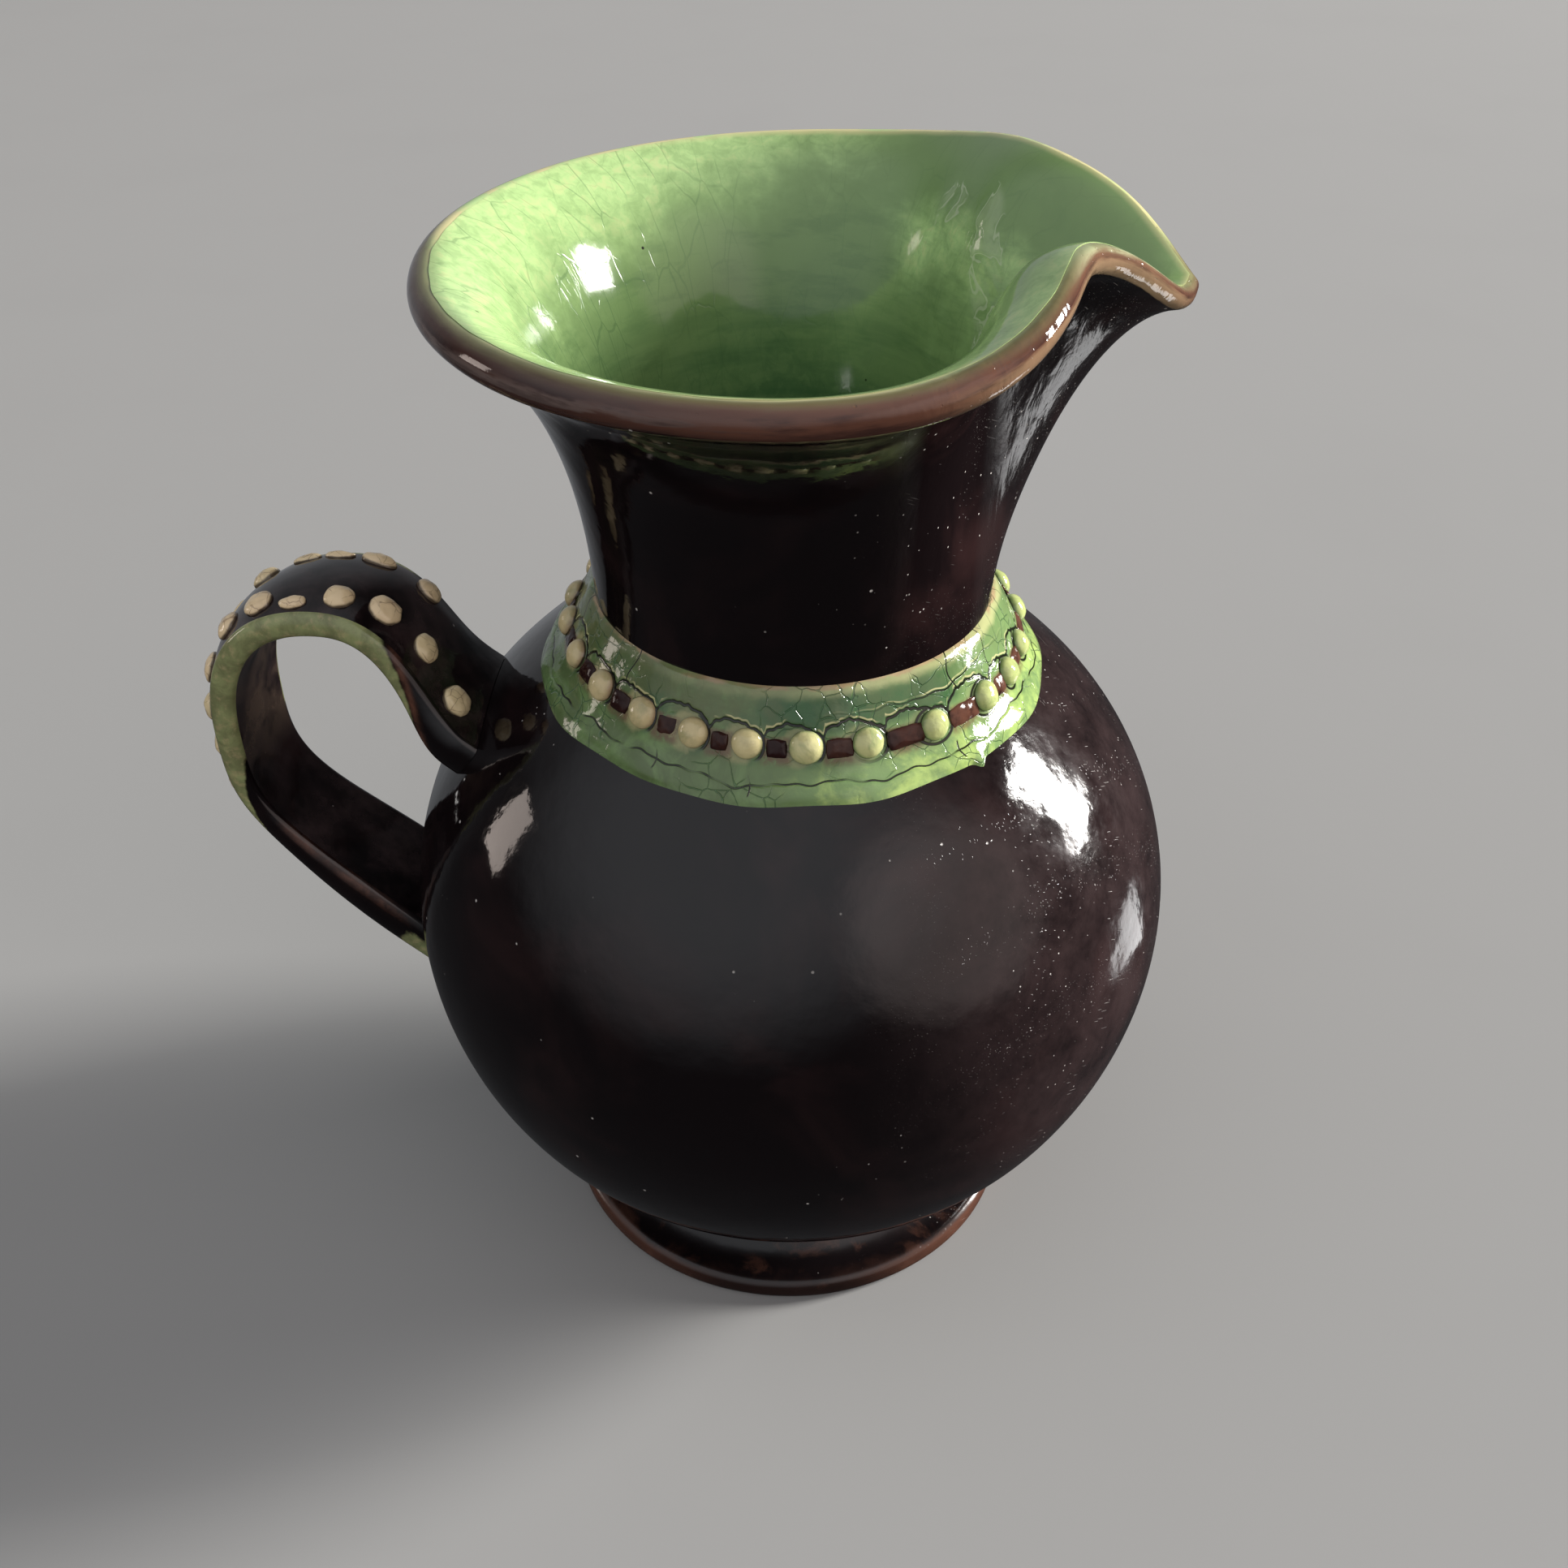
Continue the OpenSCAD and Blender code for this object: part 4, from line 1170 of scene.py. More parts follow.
class Lip:
    """Middle line of the rolled lip and the walls under it, at angles from the spout."""

    def __init__(self, jug, levels, q):
        neck = jug.neck
        self.neck, self.levels = neck, levels
        s = q - neck.turn
        r = neck.rim + neck.reach * bell(s / neck.reach_spread)
        pinch = bell((np.abs(s) - neck.pinch_turn) / neck.pinch_spread)
        r = r - cheek(neck, neck.pinch_front, neck.pinch_back, s) * pinch
        z = levels.rim + neck.tilt * np.cos(q) - neck.dip * bell(q / neck.dip_spread)
        crest = bell((np.abs(q) - neck.crest_turn) / neck.crest_spread)
        z = z + cheek(neck, neck.crest_front, neck.crest_back, q) * crest
        near = bell(q / neck.flare_spread)
        self.middle = stacked(r, z)
        self.half = mix(neck.lip, neck.spout_lip, near)[:, None]
        self.flare = mix(neck.flare, neck.spout_flare, near)
        self.pull = mix(neck.flare_pull, neck.spout_pull, near)[:, None]

    def control(self, base_r, side):
        """Control points of one wall, from the collar to the lip."""
        cos, sin = np.cos(self.flare), np.sin(self.flare)
        end = self.middle + side * self.half * stacked(cos, -sin)
        base = np.broadcast_to([base_r, self.levels.collar_top], end.shape)
        bend = end - self.pull * stacked(sin, cos)
        return np.stack([base, base + [0, self.neck.base_pull], bend, end], axis=-2)[:, None]

    def roll(self, angle):
        """Points and normals of the rolled lip, at angles of each section."""
        normal = stacked(np.cos(angle), np.sin(angle))
        return self.middle[:, None] + self.half[:, None] * normal, normal


def drip(q, depth):
    """Share of the thick glaze that ran down behind the spout, by angle and by depth in millimetres."""
    main = bell((q - np.radians(RUN_TURN - RUN_LEAN * (depth - RUN_TOP))) / 0.1)
    main *= smooth(depth, 4.5, RUN_TOP) * smooth(depth, 21, 17)
    branch = bell((q - math.radians(BRANCH_TURN)) / 0.08)
    branch = branch * smooth(depth, 5.5, 7.5) * smooth(depth, 14, 11)
    return np.maximum(main, 0.8 * branch)


class JUG_OT_neck(Operator):
    """Builds the flared neck with its spout, and the green glaze inside it"""
    bl_idname = "jug.neck"
    bl_label = "Neck"

    def execute(self, context):
        jug = context.scene.jug
        levels = Levels(jug)
        q = round_angles(NECK_TURN)
        lip = Lip(jug, levels, q)
        t = np.linspace(0, 1, WALL_STEPS + 1)
        steps = np.linspace(0, 1, LIP_STEPS + 1)[1:-1]
        outer = bezier(lip.control(jug.neck.radius, 1), t)
        inner = bezier(lip.control(levels.throat, -1), t)
        rolled, _ = lip.roll(steps * math.pi - lip.flare[:, None])
        ones = np.ones((NECK_TURN, 1, 1))
        section = np.concatenate([
            ones * [jug.neck.radius, levels.seat], outer, rolled,
            inner[:, ::-1], ones * [levels.throat, levels.seat]], axis=1)
        roll = np.concatenate([
            [-SEAT_ROLL], (t - 1) * WALL_ROLL, steps, 1 + (1 - t[::-1]) * WALL_ROLL, [SEAT_ROLL]])
        worked = np.concatenate([[0], smooth(t, 0, 0.3), np.ones(len(steps)), np.zeros(len(t) + 1)])
        mesh = lofted("neck", turned(section, q), True, {
            "worked": worked, "roll": roll, "from_spout": np.abs(q)[:, None] / math.pi})
        glaze = neck_glaze(jug.glaze)
        hand_worked("neck", mesh, glaze, jug.globe.dent, jug.globe.dent_size, seed=5.0)
        self.lining(jug, levels, lip, q, t)
        return {"FINISHED"}

    def lining(self, jug, levels, lip, q, t):
        """Glaze of the inside, thinning out over the rolled lip."""
        control = lip.control(levels.throat, -1)
        wall = bezier(control, t)
        slope = unit(bezier_slope(control, t))
        wall_normal = stacked(-slope[..., 1], slope[..., 0])
        creep = jug.neck.creep * (1 + CREEP_UNEVEN * ripple(q, (3, 7, 13, 22, 41), 2))
        steps = np.linspace(0, 1, CREEP_STEPS + 1)[1:]
        rolled, rolled_normal = lip.roll(math.pi - lip.flare[:, None] - creep[:, None] * steps)
        ones = np.ones((NECK_TURN, 1, 1))
        foot = ones * [levels.throat, levels.seat]
        path = np.concatenate([foot, wall, rolled], axis=1)
        normal = np.concatenate([ones * [-1, 0], wall_normal, rolled_normal], axis=1)
        run = np.cumsum(np.linalg.norm(np.diff(path, axis=1), axis=-1), axis=1)
        depth = np.concatenate([run[:, -1:], run[:, -1:] - run], axis=1)
        thick = jug.globe.lining * mix(THIN_SHARE, 1, smooth(depth, 0, FULL_DEPTH))
        face = path + thick[..., None] * normal
        back = path - THIN_SHARE * jug.globe.lining * normal
        section = np.concatenate([face, back[:, ::-1]], axis=1)
        depth = np.concatenate([depth, depth[:, ::-1]], axis=1) / MM
        fields = {"depth": depth, "drip": drip(q[:, None], depth)}
        mesh = lofted("neck_lining", turned(section, q), True, fields)
        settle("neck_lining", mesh, bpy.data.materials["lining_green_glaze"])


# Collar
COLLAR_TURN = 768
COLLAR_STEPS = 72
UNDER_STEPS = 8
TOP_DROP = 0.3 * MM
UNDER_GAP = 0.05 * MM
FINER = 12

# Uneven swell of the collar's glaze, and the margin at both ends that has no relief, in millimetres
GLAZE_SWELL = 0.1
END_MARGIN = 0.6

# Lower edge of the collar's glaze in millimetres: where it starts to creep, its sway and one small point
CREEP_FROM = -2.4
CREEP_SWAY = 0.16
POINT_LENGTH = 0.6
POINT_TURN = math.radians(-46)
POINT_SPREAD = 0.025

# Bold cracks in millimetres: half width of a groove, ring round a pearl, upper and lower line, and the
# offsets of the painted highlights beside the scallop and the upper line
GROOVE = 0.16
RING_RADIUS = 1.8
UPPER_LINE = 3.7
LOWER_LINE = 2.75
SCALLOP_HIGHLIGHT = 0.3
UPPER_HIGHLIGHT = 0.24

# Arches over the pearls: where one starts, in steps of the row, their heights and the height of their feet
ARCH_START = 0.28
ARCH_HEIGHTS = (0.95, 1.5)
ARCH_FOOT = 0.95

# Short cracks: the share of arches without a spur, and how many lower spurs there are to a pearl
NO_SPUR = 0.55
LOW_SPURS = 0.62

# Where the upper line shows, and how far round
UPPER_TURNS = np.radians((-48, 130))
UPPER_SPREAD = 0.36


def pearl_angles(collar):
    """Angles of the pearls from the spout, as the hand laid them."""
    even = collar.pearl_turn + 2 * math.pi * np.arange(collar.pearls) / collar.pearls
    return even + np.radians(np.resize(PEARL_DRIFT, collar.pearls))


def pearl_lift(collar, angles):
    """How far the hand-laid row of pearls sits up its face."""
    return collar.pearl_lift - collar.pearl_sway * np.cos(angles)


def row_axes(collar, levels):
    """Middle, upward slope and outward normal of the face that carries the pearls."""
    middle = np.array([collar.row, levels.shoulder(collar.row) + collar.row_lift])
    lean = collar.row_lean
    return middle, np.array([-math.cos(lean), math.sin(lean)]), np.array([math.sin(lean), math.cos(lean)])


def softened(points, soften, steps):
    """Open outline through corner points with its corners rounded, in even steps."""
    fine = FINER * steps
    run = walked(points)
    even = np.linspace(0, run[-1], fine + 1)
    line = stacked(*(np.interp(even, run, points[:, k]) for k in (0, 1)))
    reach = int(round(3 * soften / run[-1] * fine))
    weights = bell(np.arange(-reach, reach + 1) / (reach / 2))
    weights /= weights.sum()
    ends = [2 * line[0] - line[reach:0:-1], line, 2 * line[-1] - line[-2:-reach - 2:-1]]
    padded = np.concatenate(ends)
    line = stacked(*(np.convolve(padded[:, k], weights, mode="valid") for k in (0, 1)))
    return line[::FINER]


class JUG_OT_collar(Operator):
    """Builds the green collar with its cracked glaze"""
    bl_idname = "jug.collar"
    bl_label = "Collar"

    def execute(self, context):
        jug = context.scene.jug
        collar, levels = jug.collar, Levels(jug)
        angles = round_angles(COLLAR_TURN)
        row, slope, _ = row_axes(collar, levels)
        edge = np.array([collar.radius, levels.shoulder(collar.radius)])
        corners = np.array([
            edge, edge + [-collar.edge_lean, collar.edge],
            row - collar.row_half * slope, row + collar.row_half * slope,
            [jug.neck.radius + collar.lip, levels.collar_top - TOP_DROP],
            [jug.neck.radius, levels.collar_top]])
        outline = softened(corners, collar.soften, COLLAR_STEPS)
        run = walked(outline)
        at_row = run[np.argmin(np.linalg.norm(outline - row, axis=-1))]
        rise = (run - at_row) / MM
        fields = self.cracks(collar, angles, rise[None, :], (run[-1] - at_row) / MM)
        out = unit(stacked(np.gradient(outline[:, 1]), -np.gradient(outline[:, 0])))
        edge_share = smooth(rise, CREEP_FROM, rise[0])
        creep = CREEP_SWAY * ripple(angles, (2, 5, 9, 14), 4)
        creep = creep + POINT_LENGTH * bell((angles - POINT_TURN) / POINT_SPREAD)
        creep = creep[:, None] * edge_share * MM
        grooves = sum(bell(fields[name] / GROOVE) for name in ("scallop", "low_line")) * collar.crack
        swell = GLAZE_SWELL * MM * ripple(angles, (4, 9, 15), 6)[:, None]
        ends = smooth(rise - rise[0], 0, END_MARGIN) * smooth(rise[-1] - rise, 0, END_MARGIN)
        section = outline + ((swell - grooves) * ends)[..., None] * out
        section[..., 0] += creep
        sunk = levels.shoulder(outline[:, 0] + creep) - levels.shoulder(outline[:, 0])
        section[..., 1] += np.where(edge_share > 0, sunk, 0)
        bottom = section[:, 0, 0]
        under = np.linspace(0, 1, UNDER_STEPS + 1) * (bottom - levels.seat_r)[:, None] + levels.seat_r
        under = stacked(under, levels.shoulder(under) - UNDER_GAP)
        bore = np.broadcast_to([jug.neck.radius, levels.seat], (COLLAR_TURN, 1, 2))
        section = np.concatenate([section, bore, under[:, :-1]], axis=1)
        hidden = UNDER_STEPS + 1
        for name, values in fields.items():
            values = np.broadcast_to(values, (COLLAR_TURN, len(rise)))
            fields[name] = np.pad(values, ((0, 0), (0, hidden)), mode="edge")
        fields["worked"] = np.concatenate([ends, np.zeros(hidden)])[None, :]
        mesh = lofted("collar", turned(section, angles), True, fields)
        hand_worked("collar", mesh, collar_glaze(jug.glaze),
                    depth=0.3 * MM, width=4 * MM, seed=6.0)
        return {"FINISHED"}

    def cracks(self, collar, angles, rise, top):
        """Signed distances to the bold cracks in millimetres, and other places on the collar's face."""
        row_rise = rise - pearl_lift(collar, angles)[:, None] / MM
        pearls = pearl_angles(collar)
        count = collar.pearls
        order = np.arange(-count, 2 * count)
        laid = np.concatenate([pearls - 2 * math.pi, pearls, pearls + 2 * math.pi])
        pearl = np.interp(angles, laid, order)[:, None]
        pitch = 2 * math.pi * collar.row / count / MM
        off = pearl - np.round(pearl)
        past = pearl - ARCH_START
        chance = np.random.default_rng(CRACK_SEED)
        arch = chance.uniform(*ARCH_HEIGHTS, count)[(np.floor(past) % count).astype(int)]
        right = smooth(np.cos(angles), 0.15, 0.5)[:, None]
        spurred = chance.uniform(0, 1, count)[(np.floor(pearl) % count).astype(int)] > NO_SPUR
        feet = ARCH_FOOT + 0.15 * ripple(angles, (3, 8, 14), 7)[:, None]
        wave = (0.1 * ripple(angles, (29, 47, 71), 8) + 0.07 * ripple(angles, (101, 143, 187), 14))[:, None]
        bow = np.sin(math.pi * (past - np.floor(past)) ** 0.75) ** 0.7
        scallop = feet + wave + arch * bow
        steep = np.gradient(scallop, axis=0) / (2 * math.pi * collar.row / COLLAR_TURN / MM)
        scallop = (row_rise - scallop) / np.hypot(1, steep)
        to_pearl = np.hypot(off * pitch, row_rise)
        low_wave = 0.34 * ripple(angles, (3, 7, 12, 23), 9) + 0.1 * ripple(angles, (41, 67), 10)
        upper_wave = 0.35 * ripple(angles, (3, 7, 11), 12) + 0.12 * ripple(angles, (31, 53), 13)
        upper = rise - UPPER_LINE - upper_wave[:, None]
        upper_show = np.maximum(*(bell((angles - place) / UPPER_SPREAD) for place in UPPER_TURNS))
        lean = 0.35 * np.sin(rise * 1.3 + 5 * np.floor(pearl))
        return {
            "rise": rise,
            "row_rise": row_rise,
            "to_top": top - rise,
            "to_pearl": to_pearl,
            "between": smooth(np.abs(off), 0.2, 0.32),
            "scallop": scallop,
            "scallop_highlight": scallop - SCALLOP_HIGHLIGHT,
            "halo": np.hypot(off * pitch + 0.7, row_rise),
            "hook": to_pearl - RING_RADIUS,
            "hook_show": np.maximum(right, smooth(off, 0, 0.08) * smooth(row_rise, -1.6, -1.1)),
            "upper": upper,
            "upper_highlight": upper - UPPER_HIGHLIGHT,
            "upper_show": upper_show[:, None],
            "low_line": rise + LOWER_LINE + low_wave[:, None],
            "spur": np.cos(math.pi * pearl) * pitch / math.pi + lean,
            "spur_show": spurred,
            "low_spur": np.sin(math.pi * (pearl * LOW_SPURS + 0.3)) * pitch / math.pi / LOW_SPURS + lean,
        }


# Beads: spread of their sizes, how narrow a pearl is, and the least half length of a dash
PEARL_SIZES = (0.96, 1.07)
DASH_SIZES = (0.9, 1.06)
PEARL_NARROW = 0.97
LEAST_DASH = 0.4 * MM


class JUG_OT_beading(Operator):
    """Lays the pearls and the dashes round the collar"""
    bl_idname = "jug.beading"
    bl_label = "Beading"

    def execute(self, context):
        jug = context.scene.jug
        collar = jug.collar
        row, slope, normal = row_axes(collar, Levels(jug))
        chance = np.random.default_rng(BEAD_SEED)
        pearls = pearl_angles(collar)
        size = chance.uniform(*PEARL_SIZES, (len(pearls), 1)) * np.ones(3)
        spread = size * [collar.pearl, collar.pearl * PEARL_NARROW, collar.pearl_height]
        at = row[:, None] + pearl_lift(collar, pearls) * slope[:, None]
        self.lay("collar_pearls", pearls, at, normal, spread, chance, pearl_slip(jug.glaze), "pearl_slip",
                 Squareness=0.0, Unevenness=0.22 * MM, Seed=1.0)
        gaps = np.diff(np.append(pearls, pearls[0] + 2 * math.pi))
        tuck = mix(-collar.dash_tuck, collar.dash_tuck, smooth(np.cos(pearls + gaps / 2), -0.2, 0.4))
        half = gaps * collar.row / 2 - collar.pearl + (tuck - collar.dash_gap) / 2
        middles = pearls + gaps / 2 + (tuck + collar.dash_gap) / 2 / collar.row
        at = row[:, None] + (pearl_lift(collar, middles) - collar.dash_drop) * slope[:, None]
        width = collar.dash * chance.uniform(*DASH_SIZES, len(half))
        spread = stacked(np.maximum(half, LEAST_DASH), width, np.full_like(half, collar.dash_height))
        self.lay("collar_dashes", middles, at, normal, spread, chance, dash_slip(jug.glaze), "dash_slip",
                 Squareness=0.62, Unevenness=0.34 * MM, Seed=2.0)
        return {"FINISHED"}

    def lay(self, node, angles, at, normal, spread, chance, material, slot, **values):
        """Lays one row of drops round the collar, each at its own radius and height."""
        cos, sin = np.cos(angles), np.sin(angles)

        def set_round(pair):
            return stacked(pair[0] * cos, pair[0] * sin, np.full_like(cos, pair[1]))

        along = stacked(-sin, cos, np.zeros_like(cos))
        tone = chance.uniform(0, 1, len(angles))
        drops(node, set_round(at), set_round(normal), along, spread, tone, material, slot,
              Sink=0.12, **values)


# Handle
STRAP_STEPS = 168
STRAP_LANES = 20
BAND_LANES = 14
SEARCH_STEPS = 900
SEARCH_PAST = 0.8

# Length at the roots that has no dents, in curves of the strap
ROOT_FADE = 0.4

# Half width from which a dot has its full height, and the spread of heights
FULL_DOT = 1.4 * MM
DOT_HEIGHTS = (0.85, 1.1)


class Strap:
    """The pulled strap: its middle line, cross-section and landings on the globe."""

    def __init__(self, jug):
        self.handle, self.globe, self.levels = jug.handle, jug.globe, Levels(jug)
        h, levels = jug.handle, self.levels
        top = levels.middle + h.root_rise
        low = levels.middle - h.root_drop
        self.root = np.array([levels.side(top), top])
        foot = np.array([levels.side(low), low])
        crest = np.array([jug.globe.radius + h.crest_out, levels.middle + h.crest_rise])
        bow = np.array([jug.globe.radius + h.reach, levels.middle + h.bow_rise])
        leave = np.array([math.cos(h.root_angle), math.sin(h.root_angle)])
        arrive = np.array([math.cos(h.low_angle), math.sin(h.low_angle)])
        self.runs = np.array([
            [self.root, self.root + h.root_pull * leave, crest - [h.crest_in, 0], crest],
            [crest, crest + [h.crest_on, 0], bow + [0, h.bow_up], bow],
            [bow, bow - [0, h.bow_down], foot + h.low_pull * arrive, foot]])

    def station(self, run):
        """Place and direction on the middle line; outside 0 to 3 it goes straight on."""
        inside = np.clip(run, 0, 3)
        number = np.minimum(inside.astype(int), 2)
        control = self.runs[number]
        slope = bezier_slope(control, inside - number)
        place = bezier(control, inside - number) + slope * (run - inside)[..., None]
        return place, unit(slope)

    def flares(self, run):
        """Flares at the upper and the lower root."""
        flare = self.handle.flare
        return bell(np.maximum(run, 0) / flare), bell((3 - np.minimum(run, 3)) / flare)

    def half_width(self, run):
        """Half of the width between the edges."""
        h = self.handle
        top, low = self.flares(run)
        return (mix(h.width_top, h.width_low, np.clip(run, 0, 3) / 3) + h.spread * (top + low)) / 2

    def inner(self, run):
        """Height of the inner face over the middle line."""
        return -self.edge(run)

    def edge(self, run):
        """Height of the outer face's edge over the middle line."""
        top, low = self.flares(run)
        return self.handle.thickness / 2 + self.handle.swell * (top + low)

    def outer(self, run, across):
        """Height of the crowned outer face, at a share of the half width."""
        _, low = self.flares(run)
        return self.edge(run) + (self.handle.crown + self.handle.tail * low) * (1 - np.square(across))

    def turned(self, vectors):
        """Directions turned with the handle."""
        cos, sin = math.cos(-self.handle.turn), math.sin(-self.handle.turn)
        x, y, z = np.moveaxis(vectors, -1, 0)
        return stacked(x * cos - y * sin, x * sin + y * cos, z)

    def point(self, run, y, height):
        """Points at a place across the strap and a height over its middle line."""
        place, way = self.station(run)
        p = place + np.asarray(height)[..., None] * stacked(-way[..., 1], way[..., 0])
        shift = np.array([self.root[0], 0, 0])
        y = np.broadcast_to(y, p.shape[:-1])
        return self.turned(stacked(-p[..., 0], y, p[..., 1]) + shift) - shift

    def over_globe(self, points):
        """Positive outside the globe and its luting gap, negative inside."""
        gap = self.handle.gap
        up = points[..., 2] - self.levels.middle
        half = np.where(up > 0, self.globe.rise, self.globe.drop) + gap
        across = np.hypot(points[..., 0], points[..., 1]) / (self.globe.radius + gap)
        return np.square(across) + np.square(up / half) - 1

    def seated(self, lanes):
        """Runs along each lane of a section between its two landings on the globe."""
        search = np.linspace(-SEARCH_PAST, 3 + SEARCH_PAST, SEARCH_STEPS)
        height = self.over_globe(lanes(search[:, None]))
        middle = SEARCH_STEPS // 2
        ends = []
        for lane in height.T:
            first = np.nonzero(lane[:middle] <= 0)[0].max()
            last = middle + np.nonzero(lane[middle:] <= 0)[0].min()
            ends.append([np.interp(0, lane[[first, first + 1]], search[[first, first + 1]]),
                         np.interp(0, lane[[last, last - 1]], search[[last, last - 1]])])
        ends = np.array(ends)
        steps = np.linspace(0, 1, STRAP_STEPS + 1)[:, None]
        return mix(ends[:, 0], ends[:, 1], steps)


class JUG_OT_handle(Operator):
    """Builds the strap handle and the trailed bands along its edges"""
    bl_idname = "jug.handle"
    bl_label = "Handle"

    def execute(self, context):
        jug = context.scene.jug
        strap = Strap(jug)
        across = np.linspace(-1, 1, STRAP_LANES + 1)
        across = np.concatenate([across, across[::-1]])
        outer = np.repeat([0.0, 1.0], STRAP_LANES + 1)

        def strap_lanes(run):
            height = np.where(outer > 0, strap.outer(run, across), strap.inner(run))
            return strap.point(np.broadcast_to(run, height.shape), across * strap.half_width(run), height)

        runs = strap.seated(strap_lanes)
        inland = smooth(runs, 0, ROOT_FADE) * smooth(runs, 3, 3 - ROOT_FADE)
        side = np.abs(across) < 0.99
        mesh = lofted("handle", strap_lanes(runs), False, {
            "worked": inland * side, "run": runs, "outer": outer})
        hand_worked("handle", mesh, strap_glaze(jug.glaze),
                    depth=0.24 * MM, width=5 * MM, seed=4.0)
        band = edge_glaze(jug.glaze)
        for name, way in (("front", -1), ("back", 1)):
            self.band(jug, strap, name, way, band)
        return {"FINISHED"}

    def band(self, jug, strap, name, way, material):
        """One trailed band, on the edge that lies this way."""
        angle = np.linspace(-math.pi / 2, math.pi / 2, BAND_LANES)
        high = (1 + np.sin(angle)) / 2

        def lanes(run):
            height = mix(strap.inner(run), strap.edge(run), high)
            y = way * (strap.half_width(run) + jug.handle.bulge * np.cos(angle))
            return strap.point(np.broadcast_to(run, height.shape), y, height)

        runs = strap.seated(lanes)
        lane = 2 * high - 1
        # The green starts and stops at a slant across the band, and comes back on the tail
        start = mix(-0.75, 1.1, (runs - 0.27) / 0.48) - lane
        stop = lane - np.minimum(mix(-1.1, 0.95, (runs - 2.1) / 0.52), 0.9)
        tail = np.minimum((runs - 2.97) / 0.06, lane + 0.2)
        cover = np.clip(np.maximum(np.minimum(start, stop), tail), -1, 1)
        # The red ridge shows along both slants
        upper_ridge = bell((start + 0.3) / 0.22) * smooth(runs, 0.7, 0.6)
        lower_ridge = bell((lane + 0.72) / 0.2) * smooth(runs, 2.5, 2.62) * smooth(runs, 2.98, 2.9)
        node = f"handle_edge_{name}"
        mesh = lofted(node, lanes(runs), False, {"cover": cover, "ridge": upper_ridge + lower_ridge})
        settle(node, mesh, material)


class JUG_OT_dots(Operator):
    """Lays the two rows of slip dots on the handle"""
    bl_idname = "jug.dots"
    bl_label = "Dots"

    def execute(self, context):
        jug = context.scene.jug
        strap = Strap(jug)
        slip = dot_slip(jug.glaze)
        chance = np.random.default_rng(DOT_SEED)
        for name, way, laid in (("front", -1, FRONT_DOTS), ("back", 1, BACK_DOTS)):
            self.lay(jug, strap, name, way, np.array(laid) * MM, chance, slip)
        return {"FINISHED"}

    def lay(self, jug, strap, name, way, laid, chance, material):
        """Lays one row of dots on the strap's outer face."""
        search = np.linspace(0, 3, SEARCH_STEPS)
        place, _ = strap.station(search)
        run = np.interp(laid[:, 0], walked(place), search)
        half = strap.half_width(run)
        y = way * (half - laid[:, 1])
        _, ahead = strap.station(run)
        tilt = way * np.arctan(2 * jug.handle.crown * np.abs(y) / np.square(half))
        out = stacked(ahead[:, 1] * np.cos(tilt), np.sin(tilt), ahead[:, 0] * np.cos(tilt))
        along = stacked(-ahead[:, 0], np.zeros_like(run), ahead[:, 1])
        height = jug.handle.dot_height * chance.uniform(*DOT_HEIGHTS, len(run))
        height = height * np.minimum(1, laid[:, 3] / FULL_DOT)
        spread = stacked(laid[:, 2], laid[:, 3], height)
        place = strap.point(run, y, strap.outer(run, y / half))
        tone = chance.uniform(0, 1, len(run))
        drops(f"handle_dots_{name}", place, strap.turned(out), strap.turned(along), spread, tone, material,
              "dot_slip", Squareness=0.1, Sink=0.25, Unevenness=0.4 * MM, Seed=3.0 + way)


# Stage

# Glows of the room: their directions, and the cosines at which they start and are full
CEILING_WAY = Vector((-0.3, -0.5, 0.8)).normalized()
WALL_WAY = Vector((0.72, -0.58, 0.38)).normalized()
BACK_WAY = Vector((-0.35, 0.92, 0.15)).normalized()
CEILING_EDGE = 0.25
WALL_EDGE = 0.8
BACK_EDGE = 0.6
FULL_GLOW = 0.95

# Lights: place by azimuth, rise and distance, size in metres and tint
WINDOW_AT = (15, 17, 4.8)
WINDOW_SIZE = (1.11, 2.34)
WINDOW_TINT = (1, 0.98, 0.95)
SIDE_AT = (170, 8, 1.6)
SIDE_SIZE = (0.3, 0.5)
SIDE_TINT = (1, 0.86, 0.78)
GLINT_PLACE = (140 * MM, 24 * MM, 1 * MM)
GLINT_TURN = (math.pi, 0, math.radians(20))
GLINT_SIZE = (0.074, 0.03)
JUG_MIDDLE = (0, 0, 60 * MM)
BLACK = (0.0, 0.0, 0.0)
WHITE = (1, 1, 1)


def floor_finish(colour):
    """Plain pale matt floor with the faintest mottle."""
    coat = Finish("stage_floor", BLACK)
    cloud = coat.noise(50, 4.0)
    coat.paint(cloud.spread(0.97, 1.03), colour)
    coat.emboss(cloud, 0.02)
    coat.roughness = 0.6
    coat.shine = 0.0
    return coat.glossy()


def soft_light(name, place, size, power, colour):
    """A soft rectangular light that faces the jug's middle."""
    lamp = bpy.data.lights.new(name, type="AREA")
    lamp.shape = "RECTANGLE"
    lamp.size, lamp.size_y = size
    lamp.energy = power
    lamp.color = colour
    light = bpy.data.objects.new(name, lamp)
    light.location = place
    light.rotation_euler = (Vector(place) - Vector(JUG_MIDDLE)).to_track_quat("Z", "Y").to_euler()
    bpy.context.scene.collection.objects.link(light)
    return light


def direction(azimuth, rise, distance):
    """Place seen from the jug's middle: azimuth from the spout towards the back and rise in degrees."""
    a, e = math.radians(azimuth), math.radians(rise)
    away = (math.cos(e) * math.cos(a), math.cos(e) * math.sin(a), math.sin(e))
    return tuple(middle + distance * part for middle, part in zip(JUG_MIDDLE, away))


